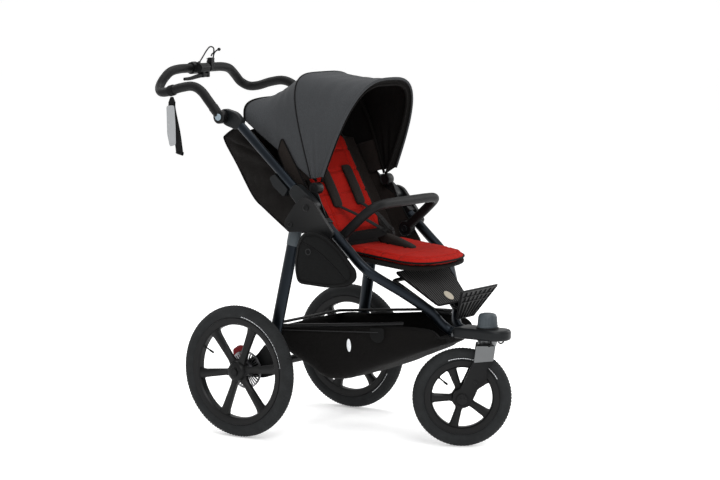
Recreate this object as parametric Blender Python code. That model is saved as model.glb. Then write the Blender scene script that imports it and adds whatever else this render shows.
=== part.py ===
"""Three-wheeled baby stroller: a folding tube frame, a sling seat with a hood, and air tyres.

Metres, +Z up. The stroller faces -Y and its right side is -X. Stations along Y are measured from the
rear axle, and the empty `stroller` puts the middle of the whole outline on the origin.
"""

import math

import bmesh
import bpy
from mathutils import Matrix, Vector

# Driving dimensions.
OUTLINE_MIDDLE = 0.1885  # the rear axle lies this far behind the middle of the outline
REAR_RADIUS = 0.200
FRONT_RADIUS = 0.1478
TYRE_HEIGHT = 0.039
TYRE_WIDTH = 0.044
WHEEL_X = 0.297
WHEEL_STEPS = 32
STEER_Y = -0.696
FORK_TRAIL = 0.0744
FORK_TURN = math.radians(32.5)
TUBE_X = 0.220
TUBE_RISE = math.radians(41.6)
FOLD_AXIS = Vector((0, -0.215, 0.703))
LEG_AXIS = Vector((0, -0.158, 0.650))
HANDLE_AXIS = Vector((0, 0.108, 0.961))
CANOPY_AXIS = Vector((0, -0.211, 0.757))
BACK_AXIS = Vector((0, -0.228, 0.598))
BUMPER_AXIS = Vector((0, -0.291, 0.609))
CALF_AXIS = Vector((0, -0.458, 0.512))
FOOTREST_AXIS = Vector((0, -0.604, 0.386))
LEVER_AXIS = Vector((-0.014, 0.342, 1.079))
STRAP_AXIS = Vector((0, 0.3045, 1.0120))
STRAP_BAND = 0.0168
BAR_WIDTH = 0.029
BUMPER_WIDTH = 0.029
SEAT_SLOPE = 0.11
SEAT_Y = -0.300
SEAT_Z = 0.585
GAP = 0.0004

ALONG_TUBE = Vector((0, math.cos(TUBE_RISE), math.sin(TUBE_RISE)))
ACROSS_TUBE = Vector((0, -math.sin(TUBE_RISE), math.cos(TUBE_RISE)))
SIDES = (("right", -1), ("left", 1))


def clear_scene():
    for obj in list(bpy.data.objects):
        bpy.data.objects.remove(obj, do_unlink=True)


def make_material(name, colour, roughness, metallic=0.0):
    material = bpy.data.materials.new(name)
    material.use_nodes = True
    shader = material.node_tree.nodes["Principled BSDF"]
    shader.inputs["Base Color"].default_value = (*colour, 1.0)
    shader.inputs["Roughness"].default_value = roughness
    shader.inputs["Metallic"].default_value = metallic
    return material


def make_axis(name, place, parent, turn=0.0):
    """An empty on a joint's axis; `place` is measured from the rear axle."""
    axis = bpy.data.objects.new(name, None)
    bpy.context.collection.objects.link(axis)
    axis.parent = parent
    axis["station"] = place
    axis.location = Vector(place) - Vector(parent["station"]) if parent else place
    axis.rotation_euler.z = turn
    return axis


def attach(obj, axis, local=False):
    """Hangs an object on its joint's empty. Its mesh is in stroller stations unless `local`."""
    obj.parent = axis
    if not local:
        obj.location = -Vector(axis["station"])
    return obj


def new_object(name, data, material, axis, local=False):
    obj = bpy.data.objects.new(name, data)
    bpy.context.collection.objects.link(obj)
    data.materials.append(material)
    return attach(obj, axis, local)


def finish_mesh(bm, name, smooth=True):
    bmesh.ops.remove_doubles(bm, verts=bm.verts, dist=1e-6)
    bmesh.ops.recalc_face_normals(bm, faces=bm.faces)
    mesh = bpy.data.meshes.new(name)
    bm.to_mesh(mesh)
    bm.free()
    if smooth:
        mesh.shade_smooth()
        mesh.set_sharp_from_angle(angle=math.radians(35))
    return mesh


def helper(name, mesh):
    """A mesh that only takes part in Booleans."""
    obj = bpy.data.objects.new(name, mesh)
    bpy.context.collection.objects.link(obj)
    obj.hide_render = True
    obj.display_type = "WIRE"
    return obj


def combine(obj, mesh, operation="UNION"):
    other = helper(f"{obj.name}_{operation.lower()}_{len(obj.modifiers)}", mesh)
    attach(other, obj.parent, local=True)
    other.location = obj.location
    boolean = obj.modifiers.new(operation.title(), "BOOLEAN")
    boolean.object = other
    boolean.operation = operation
    boolean.solver = "EXACT"
    return obj


def smooth_route(knots, steps):
    """Points on a Catmull-Rom curve through the knots."""
    knots = [Vector(k) for k in knots]
    padded = [2 * knots[0] - knots[1], *knots, 2 * knots[-1] - knots[-2]]
    route = []
    for a, b, c, d in zip(padded, padded[1:], padded[2:], padded[3:]):
        for step in range(steps):
            t = step / steps
            square_term = (2 * a - 5 * b + 4 * c - d) * t**2
            cube_term = (3 * b - a - 3 * c + d) * t**3
            route.append(0.5 * (2 * b + (c - a) * t + square_term + cube_term))
    return [*route, knots[-1]]


def tube_curve(name, route, radius, resolution=3):
    """A round tube with closed ends along the route."""
    curve = bpy.data.curves.new(name, "CURVE")
    curve.dimensions = "3D"
    curve.bevel_depth = radius
    curve.bevel_resolution = resolution
    curve.use_fill_caps = True
    spline = curve.splines.new("POLY")
    spline.points.add(len(route) - 1)
    for point, place in zip(spline.points, route):
        point.co = (*place, 1.0)
    return curve


def sweep(name, route, width, depth, sides=12):
    """A closed tube of oval section: `width` runs across at the first point, `depth` square to it."""
    bm = bmesh.new()
    route = [Vector(place) for place in route]
    tangents = [(b - a).normalized() for a, b in zip([route[0], *route], [*route[1:], route[-1]])]
    across = Vector((1, 0, 0)) if abs(tangents[0].x) < 0.8 else Vector((0, 0, 1))
    rings = []
    for index, (place, along) in enumerate(zip(route, tangents)):
        if index:
            across = tangents[index - 1].rotation_difference(along) @ across
        across = (across - along * across.dot(along)).normalized()
        normal = along.cross(across)
        ring = []
        for side in range(sides):
            angle = 2 * math.pi * side / sides
            offset = across * math.cos(angle) * width / 2 + normal * math.sin(angle) * depth / 2
            ring.append(bm.verts.new(place + offset))
        rings.append(ring)
    for low, high in zip(rings, rings[1:]):
        for side in range(sides):
            after = (side + 1) % sides
            bm.faces.new((low[side], low[after], high[after], high[side]))
    bm.faces.new(rings[0])
    bm.faces.new(rings[-1])
    return finish_mesh(bm, name)


def turned(name, profile, steps, axis="X", centre=(0, 0, 0)):
    """A solid of revolution. The profile lists (radius, station along the axis) and is closed by itself."""
    bm = bmesh.new()
    rings = []
    for radius, station in profile:
        if radius <= 0:
            rings.append([bm.verts.new((0, 0, station))] * steps)
            continue
        ring = []
        for step in range(steps):
            angle = 2 * math.pi * step / steps
            ring.append(bm.verts.new((radius * math.cos(angle), radius * math.sin(angle), station)))
        rings.append(ring)
    solid = profile[0][0] <= 0
    pairs = list(zip(rings, rings[1:]))
    if not solid:
        pairs.append((rings[-1], rings[0]))
    for low, high in pairs:
        for step in range(steps):
            after = (step + 1) % steps
            corners = dict.fromkeys((low[step], low[after], high[after], high[step]))
            if len(corners) > 2:
                bm.faces.new(corners)
    turn = {
        "X": Matrix.Rotation(math.pi / 2, 4, "Y"), "Y": Matrix.Rotation(-math.pi / 2, 4, "X"), "Z": Matrix()
    }
    bmesh.ops.transform(bm, matrix=Matrix.Translation(centre) @ turn[axis], verts=bm.verts)
    return finish_mesh(bm, name)


def disc(name, radius, x0, x1, centre, steps=24, bevel=0.002):
    """A flat cylinder across the stroller with eased edges."""
    low, high = sorted((x0, x1))
    profile = (
        (0, low),
        (radius - bevel, low),
        (radius, low + bevel),
        (radius, high - bevel),
        (radius - bevel, high),
        (0, high),
    )
    return turned(name, profile, steps, "X", (0, centre[1], centre[2]))


def rounded(outline, radius, steps=3):
    """The outline of (y, z) points with each corner cut round."""
    points = []
    count = len(outline)
    for index, corner in enumerate(outline):
        corner = Vector(corner)
        before = Vector(outline[index - 1]) - corner
        after = Vector(outline[(index + 1) % count]) - corner
        reach = min(radius, before.length / 2.2, after.length / 2.2)
        start = corner + before.normalized() * reach
        end = corner + after.normalized() * reach
        for step in range(steps + 1):
            t = step / steps
            points.append(start * (1 - t) ** 2 + corner * 2 * t * (1 - t) + end * t**2)
    return points


def plate(name, outline, x0, x1):
    """A solid with the given (y, z) outline between two X stations."""
    bm = bmesh.new()
    near = [bm.verts.new((x0, y, z)) for y, z in outline]
    far = [bm.verts.new((x1, y, z)) for y, z in outline]
    bm.faces.new(near)
    bm.faces.new(far)
    for index in range(len(outline)):
        after = (index + 1) % len(outline)
        bm.faces.new((near[index], near[after], far[after], far[index]))
    return finish_mesh(bm, name)


def slab(name, outline, z0, z1):
    """A solid with the given (x, y) outline between two heights, which may be functions of y."""
    bm = bmesh.new()
    low = [bm.verts.new((x, y, z0(y))) for x, y in outline]
    high = [bm.verts.new((x, y, z1(y))) for x, y in outline]
    bm.faces.new(low)
    bm.faces.new(high)
    for index in range(len(outline)):
        after = (index + 1) % len(outline)
        bm.faces.new((low[index], low[after], high[after], high[index]))
    return finish_mesh(bm, name)


def sheet(name, rows, thickness):
    """A closed shell of even thickness on a grid of points."""
    bm = bmesh.new()
    grid = [[bm.verts.new(point) for point in row] for row in rows]
    for low, high in zip(grid, grid[1:]):
        for index in range(len(low) - 1):
            bm.faces.new((low[index], low[index + 1], high[index + 1], high[index]))
    bmesh.ops.recalc_face_normals(bm, faces=bm.faces)
    bmesh.ops.solidify(bm, geom=bm.faces[:], thickness=thickness)
    return finish_mesh(bm, name)


def strip(path, thickness):
    """An outline of even thickness on an open (y, z) path, on its left-hand side."""
    path = [Vector(p) for p in path]
    other = []
    for index, place in enumerate(path):
        along = path[min(index + 1, len(path) - 1)] - path[max(index - 1, 0)]
        along.normalize()
        other.append(place + Vector((-along.y, along.x)) * thickness)
    return [*path, *reversed(other)]


# Wheels


def wheel_tyre(name, radius):
    """Profile round the tyre's section: full tread, bulging walls, flat seat on the rim."""
    half = TYRE_WIDTH / 2
    seat = radius - TYRE_HEIGHT
    section = (
        (seat, -half * 0.60),
        (seat + TYRE_HEIGHT * 0.42, -half),
        (radius - TYRE_HEIGHT * 0.12, -half * 0.62),
        (radius, 0),
        (radius - TYRE_HEIGHT * 0.12, half * 0.62),
        (seat + TYRE_HEIGHT * 0.42, half),
        (seat, half * 0.60),
    )
    return turned(name, section, WHEEL_STEPS)


def spoke_windows(name, count, inner, outer, root_half, tip_half, start):
    """The openings between the spokes: arcs at both radii, with edges that follow the flaring spokes."""
    bm = bmesh.new()
    depth = 0.03
    arc_steps = 4
    for spoke in range(count):
        first = start + 2 * math.pi * spoke / count
        last = start + 2 * math.pi * (spoke + 1) / count
        outline = []
        for radius, half, flip in ((inner, root_half, False), (outer, tip_half, True)):
            a = first + math.asin(half / radius)
            b = last - math.asin(half / radius)
            arc = [a + (b - a) * step / arc_steps for step in range(arc_steps + 1)]
            if flip:
                arc.reverse()
            outline += [(radius * math.cos(angle), radius * math.sin(angle)) for angle in arc]
        low = [bm.verts.new((-depth, y, z)) for y, z in outline]
        high = [bm.verts.new((depth, y, z)) for y, z in outline]
        bm.faces.new(low)
        bm.faces.new(high)
        for index in range(len(outline)):
            after = (index + 1) % len(outline)
            bm.faces.new((low[index], low[after], high[after], high[index]))
    return finish_mesh(bm, name)


def wheel_rim(name, radius, spokes, start, material, axis):
    seat = radius - TYRE_HEIGHT - GAP
    well = seat - 0.019
    web = 0.0095
    hub = 0.029
    bore = 0.0064
    section = (
        (bore, -0.024),
        (hub, -0.022),
        (hub + 0.004, -web - 0.003),
        (well, -web),
        (well + 0.003, -0.0145),
        (seat, -0.0145),
        (seat, 0.0145),
        (well + 0.003, 0.0145),
        (well, web),
        (hub + 0.004, web + 0.003),
        (hub, 0.022),
        (bore, 0.024),
    )
    rim = new_object(name, turned(name, section, WHEEL_STEPS), material, axis, local=True)
    windows = spoke_windows(f"{name}_windows", spokes, hub + 0.006, well - 0.001, 0.009, 0.016, start)
    return combine(rim, windows, "DIFFERENCE")


def rear_wheels(materials, rear_frame):
    for side, sign in SIDES:
        axis = make_axis(f"rear_wheel_{side}_axis", (sign * WHEEL_X, 0, REAR_RADIUS), rear_frame)
        tyre = wheel_tyre("rear_tyre", REAR_RADIUS)
        new_object(f"rear_tyre_{side}", tyre, materials["tyre"], axis, local=True)
        wheel_rim(f"rear_rim_{side}", REAR_RADIUS, 6, math.radians(-8), materials["rim"], axis)
        inner = -sign * 0.0245
        face = -sign * 0.0340
        section = (
            (0.0070, inner), (0.022, inner), (0.022, face + sign * 0.003), (0.058, face + sign * 0.003)
        )
        section += ((0.058, face), (0.0070, face))
        new_object(
            f"brake_disc_{side}", turned("brake_disc", section, 24), materials["disc"], axis, local=True
        )


def front_wheel(materials, fork_axis):
    hub = Vector((0, STEER_Y + FORK_TRAIL, FRONT_RADIUS))
    axis = make_axis("front_wheel_axis", hub, fork_axis)
    new_object("front_tyre", wheel_tyre("front_tyre", FRONT_RADIUS), materials["tyre"], axis, local=True)
    wheel_rim("front_rim", FRONT_RADIUS, 5, math.radians(-2), materials["rim"], axis)


# Running gear


def fork(materials, fork_axis):
    """Two blades trailing from the crown to the hub, with a neck that turns in the head."""
    hub = (STEER_Y + FORK_TRAIL, FRONT_RADIUS)
    edge = (
        (-0.021, 0.3060),
        (-0.0195, 0.288),
        (-0.013, 0.262),
        (0.002, 0.232),
        (0.004, 0.204),
        (0.024, 0.184),
        (0.040, 0.150),
        (0.052, 0.129),
        (0.074, 0.121),
        (0.096, 0.132),
        (0.102, 0.150),
        (0.094, 0.170),
        (0.078, 0.182),
        (0.047, 0.2485),
        (0.031, 0.288),
        (0.030, 0.3060),
    )
    blade = [(STEER_Y + y, z) for y, z in edge]
    inner = 0.0300
    outer = 0.0420
    obj = new_object("fork", plate("fork", blade, inner, outer), materials["plastic_dark"], fork_axis)
    combine(obj, plate("fork_blade", blade, -outer, -inner))
    crown = [
        (STEER_Y + y, z) for y, z in ((-0.020, 0.2950), (0.029, 0.2950), (0.029, 0.3050), (-0.020, 0.3050))
    ]
    combine(obj, plate("fork_crown", crown, -outer + 0.001, outer - 0.001))
    cone = ((0, 0.3000), (0.0255, 0.3000), (0.0310, 0.3205), (0, 0.3205))
    combine(obj, turned("fork_neck", cone, 24, "Z", (0, STEER_Y, 0)))
    for x0, x1 in ((outer - 0.002, outer + 0.004), (-outer - 0.004, -outer + 0.002)):
        combine(obj, disc("fork_boss", 0.016, x0, x1, (0, *hub), 20, 0.001))
    bore = disc("fork_bore", 0.0063, -0.08, 0.08, (0, *hub), 16, 0.0005)
    combine(obj, bore, "DIFFERENCE")
    half = outer + 0.007
    pin = ((0, -half), (0.009, -half), (0.009, -outer - 0.0045), (0.0058, -outer - 0.0045))
    pin += tuple((r, -x) for r, x in reversed(pin))
    new_object("front_axle", turned("front_axle", pin, 16, "X", (0, *hub)), materials["steel"], fork_axis)


def rear_axle(materials, rear_frame):
    """The cross tube with its stub ends, and the two drop brackets that carry it behind the legs."""
    stub = 0.0060
    end = WHEEL_X + 0.031
    section = [
        (0, -end),
        (0.010, -end),
        (0.010, -end + 0.0065),
        (stub, -end + 0.0065),
        (stub, -0.246),
        (0.013, -0.240),
    ]
    section += [(r, -x) for r, x in reversed(section)]
    tube = turned("rear_axle", section, 20, "X", (0, 0, REAR_RADIUS))
    obj = new_object("rear_axle", tube, materials["plastic_dark"], rear_frame)
    outline = rounded(
        (
            (0.024, 0.186),
            (0.020, 0.222),
            (-0.030, 0.244),
            (-0.064, 0.283),
            (-0.112, 0.283),
            (-0.106, 0.196),
            (-0.060, 0.178),
            (0.010, 0.176),
        ),
        0.012,
    )
    for _, sign in SIDES:
        combine(obj, plate("axle_bracket", outline, sign * 0.2240, sign * 0.2500))
    return obj


def brake_calipers(materials, rear_frame):
    outline = rounded(
        (
            (-0.006, 0.2465),
            (-0.004, 0.268),
            (0.030, 0.272),
            (0.052, 0.256),
            (0.046, 0.222),
            (0.028, 0.2225),
        ),
        0.006,
    )
    for side, sign in SIDES:
        mesh = plate("caliper", outline, sign * 0.2504, sign * 0.2605)
        new_object(f"brake_caliper_{side}", mesh, materials["red_plastic"], rear_frame)


def rear_legs(materials, rear_frame):
    """Oval legs that splay out and back from their pivots, each with a plastic knuckle at the top."""
    for side, sign in SIDES:
        top = Vector((sign * 0.2125, LEG_AXIS.y + 0.004, LEG_AXIS.z - 0.010))
        foot = Vector((sign * 0.2360, -0.0870, 0.2905))
        leg = sweep("rear_leg", [top, (top + foot) / 2, foot], 0.025, 0.040, 14)
        obj = new_object(f"rear_leg_{side}", leg, materials["frame"], rear_frame)
        combine(obj, disc("leg_knuckle", 0.021, sign * 0.2000, sign * 0.2355, LEG_AXIS))


def front_head(materials, root, steering):
    """The flat casting where the two tubes meet over the fork, and its steering lock knob."""
    half = 0.044
    nose = STEER_Y - 0.030
    outline = [(-half, -0.600), (half, -0.600)]
    for step in range(13):
        angle = math.pi * step / 12
        outline.append((half * math.cos(angle), nose - half * math.sin(angle)))
    head = slab("front_head", outline, lambda y: 0.3213, lambda y: 0.3530)
    obj = new_object("front_head", head, materials["plastic_grey"], root)
    bevel = obj.modifiers.new("Eased edges", "BEVEL")
    bevel.width = 0.006
    bevel.segments = 2
    bevel.limit_method = "ANGLE"
    boss = turned(
        "head_boss", ((0, 0.345), (0.034, 0.345), (0.033, 0.3565), (0, 0.3565)), 24, "Z", (0, STEER_Y, 0)
    )
    combine(obj, boss)
    section = (
        (0, 0.3570),
        (0.0300, 0.3570),
        (0.0305, 0.3640),
        (0.0275, 0.3880),
        (0.0245, 0.3955),
        (0.016, 0.3985),
        (0, 0.3990),
    )
    knob = turned("steering_knob", section, 28, "Z", (0, STEER_Y, 0))
    new_object("steering_knob", knob, materials["plastic_grey"], steering)


# Frame


def lower_tubes(materials, root):
    """From the fold down beside the seat, then inwards to the head, all in one sloping plane."""
    for side, sign in SIDES:
        start = FOLD_AXIS - ALONG_TUBE * 0.080
        knots = [
            (sign * TUBE_X, start.y, start.z),
            (sign * TUBE_X, -0.345, 0.587),
            (sign * TUBE_X, -0.392, 0.545),
            (sign * 0.202, -0.430, 0.511),
            (sign * 0.140, -0.487, 0.459),
            (sign * 0.078, -0.539, 0.403),
            (sign * 0.042, -0.560, 0.362),
            (sign * 0.029, -0.579, 0.3430),
            (sign * 0.028, -0.5960, 0.3375),
        ]
        tube = sweep("lower_tube", smooth_route(knots, 2), 0.027, 0.030, 10)
        new_object(f"lower_tube_{side}", tube, materials["frame"], root)


def hinge_cheeks(materials, root):
    """Outer plates fixed to the lower tubes. The upper tubes and the legs turn on their inner faces."""
    low = FOLD_AXIS - ALONG_TUBE * 0.078
    back = LEG_AXIS + Vector((0, 0.012, -0.024))
    outline = [
        FOLD_AXIS + ALONG_TUBE * 0.030 + ACROSS_TUBE * 0.020,
        FOLD_AXIS + ACROSS_TUBE * 0.034,
        low + ACROSS_TUBE * 0.020,
        low - ALONG_TUBE * 0.045 + ACROSS_TUBE * 0.012,
        low - ALONG_TUBE * 0.045 - ACROSS_TUBE * 0.012,
        low - ACROSS_TUBE * 0.022,
        back + Vector((0, -0.034, 0.004)),
        back,
        LEG_AXIS + Vector((0, 0.024, 0.006)),
        FOLD_AXIS + ALONG_TUBE * 0.036 - ACROSS_TUBE * 0.020,
    ]
    outline = rounded([(p.y, p.z) for p in outline], 0.014)
    plug = FOLD_AXIS - ALONG_TUBE * 0.0700
    span = ((0.008, -0.017), (0.008, 0.017), (-0.0096, 0.017), (-0.0096, -0.017))
    corners = [plug + ALONG_TUBE * a + ACROSS_TUBE * b for a, b in span]
    for side, sign in SIDES:
        mesh = plate("hinge_cheek", outline, sign * 0.2365, sign * 0.2500)
        obj = new_object(f"hinge_cheek_{side}", mesh, materials["plastic_dark"], root)
        block = plate("hinge_plug", [(p.y, p.z) for p in corners], sign * 0.2060, sign * 0.2370)
        combine(obj, block)


def upper_tubes(materials, upper):
    for side, sign in SIDES:
        low = FOLD_AXIS + ALONG_TUBE * 0.0850
        high = HANDLE_AXIS - ALONG_TUBE * 0.0640
        across = (low - HANDLE_AXIS).dot(ACROSS_TUBE)
        high += ACROSS_TUBE * across
        route = [Vector((sign * TUBE_X, p.y, p.z)) for p in (low, (low + high) / 2, high)]
        new_object(
            f"upper_tube_{side}", sweep("upper_tube", route, 0.024, 0.028), materials["frame"], upper
        )
        arm_end = low - ALONG_TUBE * GAP
        edges = (
            FOLD_AXIS - ALONG_TUBE * 0.020 + ACROSS_TUBE * 0.024,
            FOLD_AXIS + ALONG_TUBE * 0.020 + ACROSS_TUBE * 0.026,
            arm_end + ACROSS_TUBE * 0.019,
            arm_end - ACROSS_TUBE * 0.019,
            FOLD_AXIS + ALONG_TUBE * 0.018 - ACROSS_TUBE * 0.026,
            FOLD_AXIS - ALONG_TUBE * 0.020 - ACROSS_TUBE * 0.022,
        )
        arm = plate("hinge_arm", rounded([(p.y, p.z) for p in edges], 0.016), sign * 0.2050, sign * 0.2361)
        new_object(f"hinge_arm_{side}", arm, materials["plastic_grey"], upper)
        start = high + ALONG_TUBE * GAP
        edges = (
            start + ACROSS_TUBE * 0.017,
            start - ACROSS_TUBE * 0.018,
            HANDLE_AXIS - ALONG_TUBE * 0.018 - ACROSS_TUBE * 0.018,
            HANDLE_AXIS + ALONG_TUBE * 0.019 - ACROSS_TUBE * 0.016,
            HANDLE_AXIS + ALONG_TUBE * 0.021 + ACROSS_TUBE * 0.016,
            start + ALONG_TUBE * 0.040 + ACROSS_TUBE * 0.019,
        )
        housing = plate(
            "handle_housing", rounded([(p.y, p.z) for p in edges], 0.014), sign * 0.2050, sign * 0.2266
        )
        new_object(f"handle_housing_{side}", housing, materials["plastic_grey"], upper)


def fold_releases(materials, upper):
    """Grips under the upper tubes that slide up the tube to free the fold."""
    for side, sign in SIDES:
        axis = make_axis(f"fold_release_{side}_axis", FOLD_AXIS + ALONG_TUBE * 0.125, upper)
        middle = FOLD_AXIS + ALONG_TUBE * 0.128 - ACROSS_TUBE * 0.0330
        corners = [
            middle + ALONG_TUBE * a + ACROSS_TUBE * b for a, b in (
                (0.036, -0.004), (0.030, 0.0175), (-0.036, 0.0175), (-0.040, -0.010), (0.010, -0.014)
            )
        ]
        mesh = plate(
            "fold_release", rounded([(p.y, p.z) for p in corners], 0.007), sign * 0.2080, sign * 0.2310
        )
        new_object(f"fold_release_{side}", mesh, materials["plastic_grey"], axis)


def handlebar(materials, handle):
    """One foam-covered bar: up from each joint over a hump, then in and up to the raised cross grip."""
    half = [
        (0.2425, 0.1200, 0.9740),
        (0.2420, 0.1500, 1.0060),
        (0.2380, 0.1840, 1.0370),
        (0.2330, 0.2220, 1.0500),
        (0.2310, 0.2700, 1.0440),
        (0.2300, 0.3180, 1.0310),
        (0.2240, 0.3520, 1.0290),
        (0.2060, 0.3720, 1.0430),
        (0.1820, 0.3760, 1.0660),
        (0.1500, 0.3750, 1.0870),
        (0.1080, 0.3740, 1.0945),
        (0.0540, 0.3740, 1.0950),
    ]
    knots = [(-x, y, z) for x, y, z in half] + [(0, 0.374, 1.095)] + [
        (x, y, z) for x, y, z in reversed(half)
    ]
    mesh = sweep("handlebar", smooth_route(knots, 2), BAR_WIDTH, BAR_WIDTH, 8)
    obj = new_object("handlebar", mesh, materials["foam"], handle)
    stub = rounded(
        ((0.356, 1.084), (0.356, 1.129), (0.371, 1.129), (0.377, 1.108), (0.382, 1.084)), 0.004, 1
    )
    combine(obj, plate("cable_stop", stub, 0.034, 0.049))
    combine(obj, strap_band())
    for side, sign in SIDES:
        combine(obj, disc("handle_disc", 0.0205, sign * 0.2270, sign * 0.2520, HANDLE_AXIS, 20, 0.003))
        pocket = disc("button_pocket", 0.0108, sign * 0.2420, sign * 0.2600, HANDLE_AXIS, 16, 0.0005)
        combine(obj, pocket, "DIFFERENCE")
        axis = make_axis(f"handle_button_{side}_axis", HANDLE_AXIS, handle)
        button = disc("handle_button", 0.0102, sign * 0.2468, sign * 0.2560, HANDLE_AXIS, 16, 0.0015)
        new_object(f"handle_button_{side}", button, materials["light_plastic"], axis)


# Hand brake


def brake_lever(materials, handle, lever_axis):
    """A clamp round the cross grip, the lever blade below it, and the cable that loops up to its stop."""
    bar = (0.374, 1.095)
    inner = BAR_WIDTH / 2 + GAP
    section = ((inner, -0.016), (0.0190, -0.016), (0.0190, 0.016), (inner, 0.016))
    clamp = new_object(
        "brake_clamp",
        turned("brake_clamp", section, 16, "X", (-0.034, *bar)),
        materials["plastic_dark"],
        handle,
    )
    perch = rounded(
        ((0.3575, 1.082), (0.3580, 1.106), (0.336, 1.110), (0.327, 1.100), (0.331, 1.0840)), 0.004, 2
    )
    combine(clamp, plate("lever_perch", perch, -0.050, -0.006))
    blade = smooth_route(
        (
            (-0.008, 0.341, 1.0750),
            (-0.030, 0.341, 1.0740),
            (-0.060, 0.342, 1.0700),
            (-0.090, 0.344, 1.0650),
            (-0.118, 0.346, 1.0640),
        ),
        2,
    )
    new_object(
        "brake_lever", sweep_flat("brake_lever", blade, 0.012, 0.010), materials["plastic_dark"], lever_axis
    )
    cable = smooth_route(
        (
            (-0.0450, 0.3450, 1.1115),
            (-0.0380, 0.3470, 1.1150),
            (-0.0120, 0.3540, 1.1310),
            (0.0140, 0.3600, 1.1490),
            (0.0350, 0.3625, 1.1600),
            (0.0530, 0.3630, 1.1560),
            (0.0540, 0.3630, 1.1420),
            (0.0440, 0.3630, 1.1355),
            (0.0415, 0.3630, 1.1300),
        ),
        3,
    )
    curve = tube_curve("brake_cable", cable, 0.0022, 2)
    new_object("brake_cable", curve, materials["plastic_dark"], handle)


def sweep_flat(name, route, height, depth):
    """A strap of oblong section whose height stays upright, along a route across the stroller."""
    bm = bmesh.new()
    rings = []
    for place in route:
        corners = ((-1, -1), (1, -1), (1, 1), (-1, 1))
        rings.append(
            [
                bm.verts.new(
                    (place[0], place[1] + a * depth / 2, place[2] + b * height / 2),
                ) for a, b in corners
            ]
        )
    for low, high in zip(rings, rings[1:]):
        for side in range(4):
            after = (side + 1) % 4
            bm.faces.new((low[side], low[after], high[after], high[side]))
    bm.faces.new(rings[0])
    bm.faces.new(rings[-1])
    return finish_mesh(bm, name)


def strap_band():
    """The webbing band sewn round the right arm of the handlebar, over the top of the wrist strap."""
    inner = BAR_WIDTH / 2 - 0.0040
    section = ((inner, -0.008), (STRAP_BAND, -0.008), (STRAP_BAND, 0.008), (inner, 0.008))
    band = turned("strap_band", section, 16, "Y")
    tilt = Matrix.Rotation(math.radians(-15), 4, "X")
    band.transform(Matrix.Translation((-0.2304, STRAP_AXIS.y, 1.0348)) @ tilt)
    return band


def wrist_strap(materials, strap_axis):
    """The loop of webbing that hangs from the band."""
    loop = (
        (0.3010, 1.0140),
        (0.3080, 1.0140),
        (0.3160, 0.985),
        (0.300, 0.930),
        (0.292, 0.836),
        (0.262, 0.838),
        (0.268, 0.930),
        (0.2930, 0.985),
    )
    mesh = plate("wrist_strap", rounded(loop, 0.004, 2), -0.2345, -0.2265)
    new_object("wrist_strap", mesh, materials["webbing"], strap_axis)


# Seat


def seat_top(y):
    return SEAT_Z + SEAT_SLOPE * (y - SEAT_Y)


def seat_outline(half, back, shoulder, front):
    """Straight sides with a broad round front."""
    outline = [(-half, back), (half, back)]
    for step in range(9):
        angle = math.pi * step / 8
        x = math.copysign(abs(math.cos(angle)) ** 0.8, math.cos(angle)) * half
        outline.append((x, shoulder + (front - shoulder) * math.sin(angle) ** 0.8))
    return outline


def seat(materials, root):
    pad = slab(
        "seat_pad", seat_outline(0.158, -0.285, -0.470, -0.566), lambda y: seat_top(y) - 0.022, seat_top
    )
    new_object("seat_pad", pad, materials["red_fabric"], root)
    outline = seat_outline(0.168, -0.262, -0.468, -0.558)
    base = slab("seat_base", outline, lambda y: seat_top(y) - 0.046, lambda y: seat_top(y) - 0.0224)
    new_object("seat_base", base, materials["dark_fabric"], root)
    side = rounded(
        (
            (-0.335, 0.566),
            (-0.250, 0.560),
            (-0.205, 0.600),
            (-0.075, 0.860),
            (-0.090, 0.905),
            (-0.195, 0.735),
            (-0.232, 0.715),
        ),
        0.015,
    )
    for name, sign in SIDES:
        new_object(
            f"seat_side_{name}",
            plate("seat_side", side, sign * 0.1945, sign * 0.1985),
            materials["dark_fabric"],
            root,
        )
    cover = (
        (-0.100, 0.600),
        (-0.012, 0.662),
        (0.034, 0.698),
        (0.098, 0.795),
        (0.147, 0.868),
        (0.138, 0.893),
        (0.070, 0.932),
    )
    back = plate("back_cover", strip(cover, 0.022), -0.182, 0.182)
    new_object("back_cover", back, materials["dark_fabric"], root)
    low = seat_top(-0.440) + 0.0005
    high = seat_top(-0.322) + 0.0005
    buckle = rounded(
        ((-0.322, high), (-0.304, 0.606), (-0.336, 0.614), (-0.390, 0.598), (-0.438, 0.580), (-0.440, low)),
        0.006,
    )
    new_object(
        "crotch_buckle", plate("crotch_buckle", buckle, -0.021, 0.021), materials["dark_fabric"], root
    )


def backrest(materials, recline):
    up = Vector((0, math.cos(math.radians(62)), math.sin(math.radians(62))))
    out = Vector((0, -up.z, up.y))
    foot = BACK_AXIS + up * 0.004
    corners = [
        foot + out * 0.014,
        foot - out * 0.014,
        foot + up * 0.350 - out * 0.014,
        foot + up * 0.350 + out * 0.014,
    ]
    panel = plate("backrest", rounded([(p.y, p.z) for p in corners], 0.010), -0.145, 0.145)
    new_object("backrest", panel, materials["red_fabric"], recline)
    for side, sign in SIDES:
        pad = foot + out * 0.0148
        corners = [
            pad + up * 0.085,
            pad + up * 0.225,
            pad + up * 0.225 + out * 0.010,
            pad + up * 0.085 + out * 0.016,
        ]
        strap = plate(
            "harness_pad", rounded([(p.y, p.z) for p in corners], 0.005), sign * 0.035, sign * 0.085
        )
        new_object(f"harness_pad_{side}", strap, materials["dark_fabric"], recline)


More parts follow.
